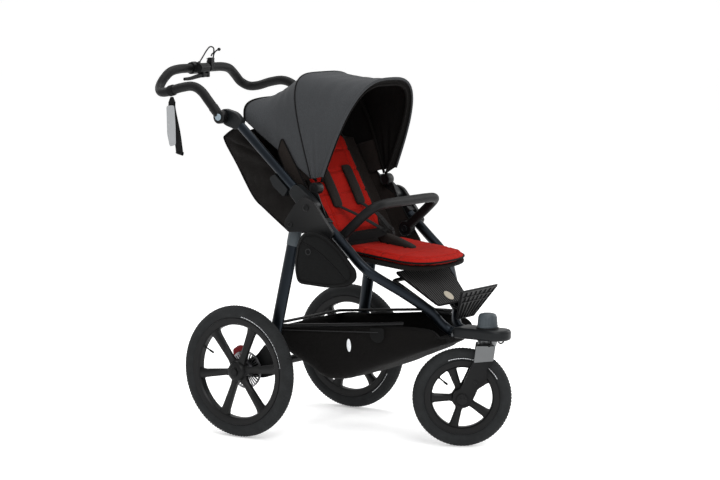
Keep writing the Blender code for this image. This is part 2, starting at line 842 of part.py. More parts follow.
def leg_rest(materials, calf, footrest_axis):
    """A U of thin tube under the seat's front: it carries the calf panel and, at its foot, the footrest."""
    rail = [
        (0.040, -0.592, 0.3960),
        (0.040, -0.566, 0.3955),
        (0.052, -0.540, 0.4030),
        (0.080, -0.500, 0.4380),
        (0.116, -0.466, 0.4750),
        (0.126, -0.452, 0.4860),
        (0.108, -0.447, 0.4900),
    ]
    knots = rail + [(0, -0.447, 0.490)] + [(-x, y, z) for x, y, z in reversed(rail)]
    frame = sweep("calf_frame", smooth_route(knots, 2), 0.0125, 0.0125, 8)
    new_object("calf_frame", frame, materials["plastic_dark"], calf)
    slope = (0.520 - 0.421) / (0.573 - 0.455)
    outline = [(-0.137, -0.462), (0.137, -0.462), (0.083, -0.576), (-0.083, -0.576)]
    panel = slab(
        "calf_panel",
        outline,
        lambda y: 0.5130 + (y + 0.462) * slope,
        lambda y: 0.5190 + (y + 0.462) * slope,
    )
    new_object("calf_panel", panel, materials["calf_fabric"], calf)
    bm = bmesh.new()
    top = Vector((0, -0.664, 0.474))
    foot = Vector((0, -0.610, 0.380))
    out = Vector((0, -0.0085, -0.0045))
    ring = []
    for place, half in ((foot, 0.046), (top, 0.104)):
        for shift in (Vector(), out):
            ring.append([bm.verts.new(place + shift + Vector((x, 0, 0))) for x in (-half, half)])
    (a, b), (c, d), (e, f), (g, h) = ring
    for corners in ((a, b, f, e), (c, d, h, g), (a, b, d, c), (e, f, h, g), (a, c, g, e), (b, d, h, f)):
        bm.faces.new(corners)
    new_object(
        "footrest", finish_mesh(bm, "footrest", smooth=False), materials["plastic_dark"], footrest_axis
    )


def bumper_bar(materials, bumper):
    """A padded bar in front of the seat, with a round press joint at each end."""
    half = [
        (0.1785, -0.3040, 0.6220),
        (0.1785, -0.3400, 0.6540),
        (0.1770, -0.3720, 0.6820),
        (0.1690, -0.3970, 0.7030),
        (0.1480, -0.4100, 0.7130),
        (0.1100, -0.4130, 0.7160),
        (0.0550, -0.4135, 0.7165),
    ]
    knots = [(-x, y, z) for x, y, z in half] + [(0, -0.4135, 0.7165)] + [
        (x, y, z) for x, y, z in reversed(half)
    ]
    mesh = sweep("bumper_bar", smooth_route(knots, 2), BUMPER_WIDTH, BUMPER_WIDTH, 8)
    obj = new_object("bumper_bar", mesh, materials["foam"], bumper)
    for side, sign in SIDES:
        combine(obj, disc("bumper_joint", 0.0235, sign * 0.1670, sign * 0.1935, BUMPER_AXIS, 20, 0.003))
        pocket = disc("bumper_pocket", 0.0104, sign * 0.1550, sign * 0.1750, BUMPER_AXIS, 16, 0.0005)
        combine(obj, pocket, "DIFFERENCE")
        axis = make_axis(f"bumper_button_{side}_axis", BUMPER_AXIS, bumper)
        button = disc("bumper_button", 0.0098, sign * 0.1630, sign * 0.1705, BUMPER_AXIS, 16, 0.0015)
        new_object(f"bumper_button_{side}", button, materials["plastic_grey"], axis)


# Hood


def arch(base, apex, half, square, steps=18, flare=0.0):
    """A hoop across the seat: a superellipse from the right base over the apex to the left base."""
    points = []
    for step in range(steps + 1):
        angle = math.pi * step / steps
        cosine = math.cos(angle)
        x = -math.copysign(abs(cosine) ** (2 / square), cosine) * half
        rise = abs(math.sin(angle)) ** (2 / square)
        x *= 1 + flare * (1 - rise)
        points.append((x, base[0] + (apex[0] - base[0]) * rise, base[1] + (apex[1] - base[1]) * rise))
    return points


def between(first, last, share, sag=0.0):
    rows = []
    for a, b in zip(first, last):
        point = Vector(a).lerp(Vector(b), share)
        point.z -= sag * 4 * share * (1 - share)
        rows.append(point)
    return rows


def hood(materials, root, front_bow):
    """Two fabric bays on two bows: the rear one reaches back to the frame, the front shades the seat."""
    rear_hoop = arch((-0.196, 0.785), (-0.103, 1.0930), 0.1930, 4.2)
    front_hoop = arch((-0.238, 0.794), (-0.350, 1.0800), 0.1900, 3.0, flare=0.04)
    rows = [between(rear_hoop, front_hoop, share, 0.006) for share in (0, 0.25, 0.5, 0.75, 1)]
    new_object("canopy_front", sheet("canopy_front", rows, 0.003), materials["canopy_fabric"], front_bow)
    seam = arch((-0.192, 0.786), (-0.1005, 1.0930), 0.1930, 4.2)
    hem = arch((0.050, 0.950), (0.054, 1.0140), 0.1960, 4.2)
    rows = [between(seam, hem, share, 0.004) for share in (0, 0.25, 0.5, 0.75, 1)]
    new_object("canopy_rear", sheet("canopy_rear", rows, 0.003), materials["canopy_fabric"], root)
    for name, apex, half, axis in (
        ("canopy_bow_rear", (-0.108, 1.080), 0.182, root),
        ("canopy_bow_front", (-0.338, 1.062), 0.172, front_bow),
    ):
        lean = (Vector(apex) - Vector(CANOPY_AXIS.yz)).normalized() * 0.0195
        hoop = arch(tuple(Vector(CANOPY_AXIS.yz) + lean), apex, half, 3.4, 18)
        new_object(name, sweep(name, hoop, 0.007, 0.007, 6), materials["plastic_dark"], axis)
    arm = rounded(((-0.226, 0.745), (-0.197, 0.750), (-0.240, 0.655), (-0.268, 0.650)), 0.008)
    for side, sign in SIDES:
        hub = new_object(
            f"canopy_hub_{side}",
            disc("canopy_hub", 0.0180, sign * 0.1740, sign * 0.2030, CANOPY_AXIS),
            materials["plastic_dark"],
            root,
        )
        combine(hub, plate("canopy_arm", arm, sign * 0.1995, sign * 0.2030))


# Luggage


def basket(materials, root):
    """An open fabric tub under the seat on a hoop of thin rod."""
    stations = (
        (-0.045, 0.176, 0.322, 0.262),
        (-0.150, 0.178, 0.330, 0.212),
        (-0.255, 0.178, 0.340, 0.177),
        (-0.440, 0.172, 0.358, 0.243),
        (-0.560, 0.112, 0.350, 0.294),
        (-0.580, 0.075, 0.325, 0.303),
    )
    rows = []
    for y, half, rim, floor in stations:
        wall = half - 0.012
        rows.append(
            [
                (-half, y, rim),
                (-wall, y, floor + 0.02),
                (-wall + 0.02, y, floor),
                (wall - 0.02, y, floor),
                (wall, y, floor + 0.02),
                (half, y, rim),
            ],
        )
    bm = bmesh.new()
    grid = [[bm.verts.new(point) for point in row] for row in rows]
    for low, high in zip(grid, grid[1:]):
        for index in range(len(low) - 1):
            bm.faces.new((low[index], low[index + 1], high[index + 1], high[index]))
    bm.faces.new(grid[0])
    bm.faces.new(grid[-1])
    bmesh.ops.recalc_face_normals(bm, faces=bm.faces)
    bmesh.ops.solidify(bm, geom=bm.faces[:], thickness=0.003)
    new_object("basket", finish_mesh(bm, "basket"), materials["dark_fabric"], root)
    hoop = [
        (0.150, -0.031, 0.3300),
        (0.182, -0.040, 0.3310),
        (0.190, -0.080, 0.3340),
        (0.190, -0.255, 0.3500),
        (0.185, -0.400, 0.3630),
        (0.155, -0.500, 0.3700),
    ]
    knots = [(-x, y, z) for x, y, z in reversed(hoop)] + [(0, -0.031, 0.330)] + hoop
    new_object(
        "basket_hoop",
        sweep("basket_hoop", smooth_route(knots, 2), 0.009, 0.009, 8),
        materials["rail"],
        root,
    )


def side_bag(materials, root):
    """A zipped pocket that hangs from the right lower tube."""
    corners = (
        (-0.220, 0.634),
        (-0.266, 0.638),
        (-0.298, 0.628),
        (-0.355, 0.588),
        (-0.410, 0.530),
        (-0.411, 0.504),
        (-0.380, 0.482),
        (-0.310, 0.474),
        (-0.196, 0.479),
        (-0.188, 0.535),
        (-0.197, 0.599),
    )
    bag = plate("side_bag", rounded(corners, 0.012, 1), -0.2840, -0.2515)
    new_object("side_bag", bag, materials["dark_fabric"], root)


def build():
    clear_scene()
    materials = {
        "frame": make_material("frame", (0.060, 0.072, 0.088), 0.38, 0.75),
        "rail": make_material("rail", (0.160, 0.165, 0.170), 0.40, 0.60),
        "plastic_grey": make_material("plastic_grey", (0.085, 0.088, 0.092), 0.50),
        "plastic_dark": make_material("plastic_dark", (0.028, 0.029, 0.031), 0.45),
        "light_plastic": make_material("light_plastic", (0.420, 0.440, 0.450), 0.45),
        "red_plastic": make_material("red_plastic", (0.300, 0.010, 0.020), 0.40),
        "foam": make_material("foam", (0.040, 0.041, 0.044), 0.85),
        "webbing": make_material("webbing", (0.020, 0.020, 0.021), 0.90),
        "tyre": make_material("tyre", (0.035, 0.036, 0.038), 0.85),
        "rim": make_material("rim", (0.050, 0.050, 0.055), 0.45),
        "steel": make_material("steel", (0.400, 0.400, 0.410), 0.35, 1.0),
        "disc": make_material("disc", (0.450, 0.450, 0.460), 0.35, 1.0),
        "red_fabric": make_material("red_fabric", (0.420, 0.018, 0.014), 0.85),
        "dark_fabric": make_material("dark_fabric", (0.030, 0.028, 0.028), 0.90),
        "calf_fabric": make_material("calf_fabric", (0.070, 0.068, 0.066), 0.90),
        "canopy_fabric": make_material("canopy_fabric", (0.085, 0.087, 0.092), 0.90),
    }
    root = make_axis("stroller", Vector((0, 0, 0)), None)
    root.location = (0, OUTLINE_MIDDLE, 0)
    upper = make_axis("frame_fold_axis", FOLD_AXIS, root)
    handle = make_axis("handle_axis", HANDLE_AXIS, upper)
    lever_axis = make_axis("brake_lever_axis", LEVER_AXIS, handle)
    strap_axis = make_axis("wrist_strap_axis", STRAP_AXIS, handle)
    rear_frame = make_axis("rear_leg_axis", LEG_AXIS, root)
    fork_axis = make_axis("fork_axis", Vector((0, STEER_Y, 0)), root, FORK_TURN)
    steering = make_axis("steering_lock_axis", Vector((0, STEER_Y, 0.357)), root)
    front_bow = make_axis("canopy_front_axis", CANOPY_AXIS, root)
    recline = make_axis("recline_axis", BACK_AXIS, root)
    calf = make_axis("calf_axis", CALF_AXIS, root)
    footrest_axis = make_axis("footrest_axis", FOOTREST_AXIS, calf)
    bumper = make_axis("bumper_axis", BUMPER_AXIS, root)

    rear_wheels(materials, rear_frame)
    front_wheel(materials, fork_axis)
    fork(materials, fork_axis)
    rear_axle(materials, rear_frame)
    brake_calipers(materials, rear_frame)
    rear_legs(materials, rear_frame)
    front_head(materials, root, steering)
    lower_tubes(materials, root)
    hinge_cheeks(materials, root)
    upper_tubes(materials, upper)
    fold_releases(materials, upper)
    handlebar(materials, handle)
    brake_lever(materials, handle, lever_axis)
    wrist_strap(materials, strap_axis)
    seat(materials, root)
    backrest(materials, recline)
    leg_rest(materials, calf, footrest_axis)
    bumper_bar(materials, bumper)
    hood(materials, root, front_bow)
    basket(materials, root)
    side_bag(materials, root)


build()
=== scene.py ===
"""The looks of a three-wheeled baby stroller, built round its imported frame.

Metres, +Z up. Pieces are modelled in stroller stations, where y is measured from the rear axle, and
finish_mesh() moves them into the frame's coordinates. The stroller faces -Y and its right side is -X.
"""

import math

import bmesh
import bpy
import numpy as np
from mathutils import Matrix, Vector, noise
from mathutils.bvhtree import BVHTree
from mathutils.kdtree import KDTree

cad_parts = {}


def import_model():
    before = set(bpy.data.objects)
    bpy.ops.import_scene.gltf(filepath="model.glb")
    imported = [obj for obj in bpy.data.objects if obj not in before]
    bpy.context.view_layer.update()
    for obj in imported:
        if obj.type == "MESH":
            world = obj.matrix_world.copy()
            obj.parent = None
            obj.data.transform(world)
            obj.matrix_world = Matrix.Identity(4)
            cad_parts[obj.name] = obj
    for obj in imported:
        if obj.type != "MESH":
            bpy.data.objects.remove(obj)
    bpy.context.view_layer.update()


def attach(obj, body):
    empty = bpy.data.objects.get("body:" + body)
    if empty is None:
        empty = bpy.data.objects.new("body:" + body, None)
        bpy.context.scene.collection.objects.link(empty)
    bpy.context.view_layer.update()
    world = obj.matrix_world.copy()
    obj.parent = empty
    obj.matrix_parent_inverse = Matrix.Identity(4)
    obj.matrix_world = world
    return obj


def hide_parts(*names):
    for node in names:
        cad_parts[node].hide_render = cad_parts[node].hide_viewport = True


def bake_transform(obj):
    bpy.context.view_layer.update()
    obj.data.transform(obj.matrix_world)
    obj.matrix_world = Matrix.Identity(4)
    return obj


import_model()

# Driving dimensions, the same as the frame's.
OUTLINE_MIDDLE = 0.1885
REAR_RADIUS = 0.200
FRONT_RADIUS = 0.1478
TYRE_HEIGHT = 0.039
TYRE_WIDTH = 0.044
WHEEL_X = 0.297
STEER_Y = -0.696
FORK_TRAIL = 0.0744
FORK_TURN = math.radians(32.5)
TUBE_X = 0.220
TUBE_RISE = math.radians(41.6)
FOLD_AXIS = Vector((0, -0.215, 0.703))
LEG_AXIS = Vector((0, -0.158, 0.650))
HANDLE_AXIS = Vector((0, 0.108, 0.961))
CANOPY_AXIS = Vector((0, -0.211, 0.757))
BACK_AXIS = Vector((0, -0.228, 0.598))
BACK_LEAN = math.radians(62)
BUMPER_AXIS = Vector((0, -0.291, 0.609))
SEAT_SLOPE = 0.11
SEAT_Y = -0.300
SEAT_Z = 0.585
CALF_SLOPE = 0.839
ALONG_TUBE = Vector((0, math.cos(TUBE_RISE), math.sin(TUBE_RISE)))
ACROSS_TUBE = Vector((0, -math.sin(TUBE_RISE), math.cos(TUBE_RISE)))
SIDES = (("right", -1), ("left", 1))

# Camera and studio.
CAMERA_PLACE = Vector((-5.985, -4.1685, 1.425))
CAMERA_YAW = math.radians(55.471)
CAMERA_PITCH = math.radians(-6.591)
CAMERA_LENS = 120.0
SKY = 0.70
FLOOR_GLOW = 0.34


# Materials


class Nodes:
    """Short names for building a shader: each call adds a node and links its inputs."""

    def __init__(self, name):
        self.material = bpy.data.materials.new(name)
        self.material.use_nodes = True
        self.tree = self.material.node_tree
        self.shader = self.tree.nodes["Principled BSDF"]
        self.coords = self.tree.nodes.new("ShaderNodeTexCoord").outputs["Object"]

    def link(self, value, socket):
        if isinstance(value, bpy.types.NodeSocket):
            self.tree.links.new(value, socket)
        else:
            socket.default_value = value

    def noise(self, scale, detail=3.0, roughness=0.55, coords=None):
        node = self.tree.nodes.new("ShaderNodeTexNoise")
        self.link(coords or self.coords, node.inputs["Vector"])
        node.inputs["Scale"].default_value = scale
        node.inputs["Detail"].default_value = detail
        node.inputs["Roughness"].default_value = roughness
        return node.outputs["Fac"]

    def wave(self, pitch, axis, coords=None, distortion=0.0):
        """Bands square to an axis, one every pitch."""
        node = self.tree.nodes.new("ShaderNodeTexWave")
        node.bands_direction = axis
        self.link(coords or self.coords, node.inputs["Vector"])
        node.inputs["Scale"].default_value = math.pi / 10 / pitch
        node.inputs["Distortion"].default_value = distortion
        return node.outputs["Fac"]

    def cells(self, pitch, coords=None):
        node = self.tree.nodes.new("ShaderNodeTexVoronoi")
        self.link(coords or self.coords, node.inputs["Vector"])
        node.inputs["Scale"].default_value = 1 / pitch
        return node.outputs["Distance"]

    def maths(self, operation, a, b=0.0):
        node = self.tree.nodes.new("ShaderNodeMath")
        node.operation = operation
        self.link(a, node.inputs[0])
        self.link(b, node.inputs[1])
        return node.outputs[0]

    def ramp(self, value, low, high):
        """The value's stretch from low to high, spread over 0 to 1."""
        node = self.tree.nodes.new("ShaderNodeMapRange")
        self.link(value, node.inputs["Value"])
        node.inputs["From Min"].default_value = low
        node.inputs["From Max"].default_value = high
        return node.outputs["Result"]

    def mix(self, share, a, b):
        node = self.tree.nodes.new("ShaderNodeMix")
        node.data_type = "RGBA"
        self.link(share, node.inputs[0])
        self.link(a if isinstance(a, bpy.types.NodeSocket) else (*a, 1.0), node.inputs[6])
        self.link(b if isinstance(b, bpy.types.NodeSocket) else (*b, 1.0), node.inputs[7])
        return node.outputs[2]

    def edges(self, low=0.505, high=0.58):
        """1 along worn convex edges, 0 on flat faces."""
        pointiness = self.tree.nodes.new("ShaderNodeNewGeometry").outputs["Pointiness"]
        return self.ramp(pointiness, low, high)

    def bump(self, height, strength, distance):
        node = self.tree.nodes.new("ShaderNodeBump")
        self.link(height, node.inputs["Height"])
        node.inputs["Strength"].default_value = strength
        node.inputs["Distance"].default_value = distance
        self.link(node.outputs["Normal"], self.shader.inputs["Normal"])

    def set(self, **values):
        for name, value in values.items():
            self.link(value, self.shader.inputs[name.replace("_", " ")])


def shade(colour, factor):
    return tuple(channel * factor for channel in colour)


def fabric(name, colour, thread=0.0012, depth=0.35, sheen=0.25, mottling=0.35, rough=0.88):
    """Woven cloth: crossed threads in relief, flecks of a darker yarn and a broad change of shade."""
    n = Nodes(name)
    weave = n.maths("MAXIMUM", n.wave(thread, "X"), n.wave(thread, "Y"))
    weave = n.maths("ADD", weave, n.wave(thread, "Z"))
    flecks = n.ramp(n.noise(1 / thread * 0.6, 2.0), 0.35, 0.7)
    cloth = n.mix(flecks, shade(colour, 1 - mottling), shade(colour, 1 + mottling * 0.6))
    broad = n.ramp(n.noise(7.0, 3.0), 0.35, 0.65)
    n.set(Base_Color=n.mix(n.maths("MULTIPLY", broad, 0.35), cloth, shade(colour, 0.72)))
    n.set(Roughness=n.maths("ADD", n.maths("MULTIPLY", flecks, 0.08), rough - 0.04))
    n.set(Sheen_Weight=sheen, Sheen_Roughness=0.45, Specular_IOR_Level=0.08)
    n.bump(n.maths("ADD", weave, n.maths("MULTIPLY", n.noise(160.0), 1.2)), depth, 0.0005)
    return n.material


def air_mesh(name, colour):
    """Knitted spacer cloth: rows of small round openings over a softer ground."""
    n = Nodes(name)
    holes = n.ramp(n.cells(0.0026), 0.15, 0.62)
    broad = n.ramp(n.noise(9.0, 4.0), 0.3, 0.7)
    ground = n.mix(broad, shade(colour, 0.82), shade(colour, 1.12))
    n.set(Base_Color=n.mix(n.ramp(holes, 0.0, 0.5), shade(colour, 0.55), ground))
    n.set(Roughness=0.9, Sheen_Weight=0.06, Sheen_Roughness=0.5, Specular_IOR_Level=0.06)
    n.set(Sheen_Tint=(1.0, 0.25, 0.2, 1.0))
    n.bump(n.maths("ADD", holes, n.maths("MULTIPLY", n.noise(120.0), 0.8)), 0.45, 0.0008)
    return n.material


def pinstripe(name, dark, light, pitch):
    """Ribbed cloth with a pale thread along every rib."""
    n = Nodes(name)
    stripes = n.ramp(n.wave(pitch, "X", distortion=0.25), 0.62, 0.9)
    flecks = n.noise(700.0, 2.0)
    ground = n.mix(n.ramp(flecks, 0.3, 0.7), shade(dark, 0.7), shade(dark, 1.3))
    n.set(Base_Color=n.mix(n.maths("MULTIPLY", stripes, 0.8), ground, light))
    n.set(Roughness=0.88, Sheen_Weight=0.03, Specular_IOR_Level=0.08)
    n.bump(n.maths("ADD", stripes, n.maths("MULTIPLY", n.noise(200.0), 0.6)), 0.4, 0.0006)
    return n.material


def moulded(name, colour, rough=0.5, grain=0.12, wear=0.10):
    """Spark-eroded plastic: fine pebbled grain, slightly polished and paler along its edges."""
    n = Nodes(name)
    pebbles = n.noise(1500.0, 2.0)
    cloud = n.ramp(n.noise(14.0, 4.0), 0.3, 0.7)
    body = n.mix(cloud, shade(colour, 0.88), shade(colour, 1.1))
    edge = n.maths("MULTIPLY", n.edges(), wear)
    n.set(Base_Color=n.mix(edge, body, tuple(min(1.0, c * 2.2 + 0.012) for c in colour)))
    n.set(Roughness=n.maths("ADD", n.maths("MULTIPLY", cloud, 0.10), rough - 0.05))
    n.set(Specular_IOR_Level=0.17)
    n.bump(pebbles, grain, 0.0002)
    return n.material


def anodised(name, colour, rough=0.34, metallic=0.8):
    """Aluminium tube with a dyed satin finish and a faint drawn grain."""
    n = Nodes(name)
    mapping = n.tree.nodes.new("ShaderNodeMapping")
    n.link(n.coords, mapping.inputs["Vector"])
    mapping.inputs["Scale"].default_value = (1.0, 0.06, 0.06)
    grain = n.noise(1800.0, 2.0, coords=mapping.outputs["Vector"])
    cloud = n.ramp(n.noise(11.0, 4.0), 0.3, 0.7)
    body = n.mix(cloud, shade(colour, 0.9), shade(colour, 1.12))
    n.set(Base_Color=n.mix(n.maths("MULTIPLY", n.edges(), 0.25), body, shade(colour, 2.4)))
    n.set(Roughness=n.maths("ADD", n.maths("MULTIPLY", grain, 0.16), rough - 0.08))
    n.set(Metallic=metallic, Coat_Weight=0.05, Coat_Roughness=0.3, Specular_IOR_Level=0.25)
    n.bump(grain, 0.06, 0.0002)
    return n.material


def rubber(name, colour, rough=0.82):
    """Tyre rubber, dusty in its hollows."""
    n = Nodes(name)
    dust = n.ramp(n.noise(35.0, 5.0), 0.42, 0.75)
    n.set(Base_Color=n.mix(n.maths("MULTIPLY", dust, 0.35), colour, shade(colour, 2.8)))
    n.set(Roughness=n.maths("ADD", n.maths("MULTIPLY", dust, 0.12), rough - 0.06))
    n.set(Specular_IOR_Level=0.16)
    n.bump(n.noise(900.0, 3.0), 0.18, 0.0003)
    return n.material


def foam(name, colour):
    """Closed-cell foam grip: fine open pores with a soft, even shade."""
    n = Nodes(name)
    pores = n.ramp(n.cells(0.0011), 0.1, 0.55)
    cloud = n.ramp(n.noise(20.0, 4.0), 0.3, 0.7)
    body = n.mix(cloud, shade(colour, 0.85), shade(colour, 1.15))
    n.set(Base_Color=n.mix(pores, shade(colour, 0.6), body))
    n.set(Roughness=0.56, Specular_IOR_Level=0.16)
    n.bump(pores, 0.16, 0.0003)
    return n.material


def brushed(name, colour, rough=0.32, centre=(0, 0, 0)):
    """Bare metal with fine circular scratches."""
    n = Nodes(name)
    mapping = n.tree.nodes.new("ShaderNodeMapping")
    n.link(n.coords, mapping.inputs["Vector"])
    mapping.inputs["Location"].default_value = tuple(-c for c in centre)
    rings = n.tree.nodes.new("ShaderNodeTexWave")
    rings.wave_type = "RINGS"
    rings.rings_direction = "X"
    n.link(mapping.outputs["Vector"], rings.inputs["Vector"])
    rings.inputs["Scale"].default_value = math.pi / 10 / 0.0009
    rings.inputs["Distortion"].default_value = 1.5
    cloud = n.noise(60.0, 4.0)
    n.set(Base_Color=n.mix(cloud, shade(colour, 0.8), colour))
    n.set(Roughness=n.maths("ADD", n.maths("MULTIPLY", rings.outputs["Fac"], 0.14), rough - 0.06))
    n.set(Metallic=1.0)
    n.bump(rings.outputs["Fac"], 0.08, 0.0001)
    return n.material


def webbing(name, colour):
    """Narrow woven strap with ribs across its length."""
    n = Nodes(name)
    ribs = n.maths("ADD", n.wave(0.0016, "Z"), n.wave(0.0012, "X"))
    n.set(Base_Color=n.mix(n.ramp(n.noise(800.0), 0.3, 0.7), shade(colour, 0.7), shade(colour, 1.4)))
    n.set(Roughness=0.85, Sheen_Weight=0.03, Specular_IOR_Level=0.12)
    n.bump(ribs, 0.4, 0.0005)
    return n.material


def reflective(name, colour):
    """Glass-bead tape: pale, with a fine honeycomb."""
    n = Nodes(name)
    beads = n.ramp(n.cells(0.0015), 0.1, 0.6)
    n.set(Base_Color=n.mix(beads, shade(colour, 0.75), colour))
    n.set(Roughness=0.35, Metallic=0.3, Specular_IOR_Level=0.6)
    n.bump(beads, 0.15, 0.0002)
    return n.material


def make_materials():
    return {
        "frame": anodised("tube_anodised", (0.0085, 0.0115, 0.0155)),
        "rail": anodised("rail_anodised", (0.16, 0.165, 0.17), 0.36, 0.85),
        "plastic_grey": moulded("plastic_grey_moulded", (0.0062, 0.0072, 0.0080), 0.40),
        "cap_grey": moulded("cap_grey_moulded", (0.050, 0.060, 0.067), 0.44),
        "plastic_dark": moulded("plastic_dark_moulded", (0.0030, 0.0031, 0.0034), 0.44),
        "light_plastic": moulded("plastic_light_moulded", (0.24, 0.30, 0.34), 0.42),
        "neck": anodised("neck_anodised", (0.10, 0.103, 0.105), 0.34, 0.85),
        "red_plastic": moulded("plastic_red_moulded", (0.16, 0.003, 0.006), 0.38),
        "foam": foam("foam_grip", (0.0034, 0.0035, 0.0037)),
        "webbing": webbing("webbing_black", (0.0050, 0.0050, 0.0052)),
        "tyre": rubber("tyre_rubber", (0.0120, 0.0128, 0.0134)),
        "rim": moulded("rim_moulded", (0.0036, 0.0037, 0.0040), 0.40),
        "steel": brushed("steel_brushed", (0.42, 0.42, 0.43)),
        "disc": brushed("disc_brushed", (0.24, 0.24, 0.25), 0.34, (0, OUTLINE_MIDDLE, REAR_RADIUS)),
        "red_fabric": air_mesh("cloth_red", (0.285, 0.0080, 0.0048)),
        "dark_fabric": fabric("cloth_dark", (0.0068, 0.0058, 0.0053), 0.0013, 0.45, 0.02),
        "brown_fabric": fabric("cloth_brown", (0.0165, 0.0130, 0.0115), 0.0012, 0.4, 0.03),
        "bag_fabric": fabric("cloth_bag", (0.0066, 0.0068, 0.0069), 0.0012, 0.35, 0.03),
        "lining": fabric("cloth_lining", (0.0040, 0.0034, 0.0032), 0.0010, 0.3, 0.0),
        "piping": fabric("cloth_piping", (0.0032, 0.0030, 0.0030), 0.0008, 0.3, 0.02),
        "calf_fabric": pinstripe("cloth_calf", (0.0045, 0.0042, 0.0042), (0.085, 0.083, 0.082), 0.0105),
        "canopy_fabric": fabric("cloth_canopy", (0.0430, 0.0450, 0.0480), 0.0010, 0.22, 0.04, 0.28),
        "basket_fabric": fabric("cloth_basket", (0.0042, 0.0038, 0.0036), 0.0016, 0.5, 0.02),
        "thread": fabric("thread_dark", (0.026, 0.026, 0.027), 0.0005, 0.2, 0.05),
        "red_thread": fabric("thread_red", (0.150, 0.008, 0.006), 0.0005, 0.2, 0.05),
        "reflective": reflective("tape_reflective", (0.72, 0.74, 0.76)),
        "patch": fabric("patch_cream", (0.52, 0.47, 0.38), 0.0010, 0.3, 0.1, 0.15),
        "tag": reflective("tag_silver", (0.34, 0.35, 0.36)),
    }


# Shapes


def finish_mesh(bm, name, sharp=40):
    bmesh.ops.remove_doubles(bm, verts=bm.verts, dist=1e-6)
    bmesh.ops.recalc_face_normals(bm, faces=bm.faces)
    bmesh.ops.translate(bm, vec=(0, OUTLINE_MIDDLE, 0), verts=bm.verts)
    mesh = bpy.data.meshes.new(name)
    bm.to_mesh(mesh)
    bm.free()
    mesh.shade_smooth()
    mesh.set_sharp_from_angle(angle=math.radians(sharp))
    obj = bpy.data.objects.new(name, mesh)
    bpy.context.scene.collection.objects.link(obj)
    return obj


def dress(obj, finish, body, slot, *stands_for):
    """Gives the piece its material and hangs it on its body in the frame."""
    obj.data.materials.clear()
    obj.data.materials.append(materials[finish])
    if body:
        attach(obj, body)
    if stands_for:
        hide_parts(*stands_for)
    return obj


def baked(obj):
    """Applies every modifier to the piece's mesh."""
    graph = bpy.context.evaluated_depsgraph_get()
    mesh = bpy.data.meshes.new_from_object(obj.evaluated_get(graph))
    obj.modifiers.clear()
    obj.data = mesh
    return obj


def eased(obj, width=0.0015, segments=2, angle=35):
    """Rounds the hard edges."""
    bevel = obj.modifiers.new("Eased edges", "BEVEL")
    bevel.width = width
    bevel.segments = segments
    bevel.limit_method = "ANGLE"
    bevel.angle_limit = math.radians(angle)
    bevel.miter_outer = "MITER_ARC"
    return obj


def smooth_route(knots, steps=6):
    """Points on a Catmull-Rom curve through the knots."""
    knots = [Vector(k) for k in knots]
    padded = [2 * knots[0] - knots[1], *knots, 2 * knots[-1] - knots[-2]]
    route = []
    for a, b, c, d in zip(padded, padded[1:], padded[2:], padded[3:]):
        for step in range(steps):
            t = step / steps
            cubic = (3 * b - a - 3 * c + d) * t**3
            route.append(0.5 * (2 * b + (c - a) * t + (2 * a - 5 * b + 4 * c - d) * t**2 + cubic))
    return [*route, knots[-1]]


def mirrored(half, middle=None):
    """The knots of the left half, its mirror image before them, and a point between."""
    return [(-x, y, z) for x, y, z in half] + ([middle] if middle else []) + [
        (x, y, z) for x, y, z in reversed(half)
    ]


def sweep(bm, route, width, depth, sides=20, loop=False, taper=None, across=None):
    """A tube of oval section with eased ends; `taper` scales the section along the route."""
    route = [Vector(place) for place in route]
    count = len(route)
    if loop:
        tangents = [(route[(i + 1) % count] - route[i - 1]).normalized() for i in range(count)]
    else:
        tangents = [(b - a).normalized() for a, b in zip([route[0], *route], [*route[1:], route[-1]])]
    if across is None:
        across = Vector((1, 0, 0)) if abs(tangents[0].x) < 0.8 else Vector((0, 0, 1))
    across = Vector(across)
    rings = []
    for index, (place, along) in enumerate(zip(route, tangents)):
        if index:
            across = tangents[index - 1].rotation_difference(along) @ across
        across = (across - along * across.dot(along)).normalized()
        normal = along.cross(across)
        scale = taper(index / (count - 1)) if taper else 1.0
        ring = []
        for side in range(sides):
            angle = 2 * math.pi * side / sides
            offset = across * math.cos(angle) * width / 2 + normal * math.sin(angle) * depth / 2
            ring.append(bm.verts.new(place + offset * scale))
        rings.append(ring)
    pairs = list(zip(rings, rings[1:]))
    if loop:
        pairs.append((rings[-1], rings[0]))
    for low, high in pairs:
        for side in range(sides):
            after = (side + 1) % sides
            bm.faces.new((low[side], low[after], high[after], high[side]))
    if not loop:
        for ring in (rings[0], rings[-1]):
            inner = bmesh.ops.extrude_discrete_faces(bm, faces=[bm.faces.new(ring)])["faces"][0]
            centre = inner.calc_center_median()
            for vert in inner.verts:
                vert.co = centre + (vert.co - centre) * 0.9
    return bm


def tube(name, route, width, depth=None, sides=20, **options):
    return finish_mesh(sweep(bmesh.new(), route, width, depth or width, sides, **options), name)


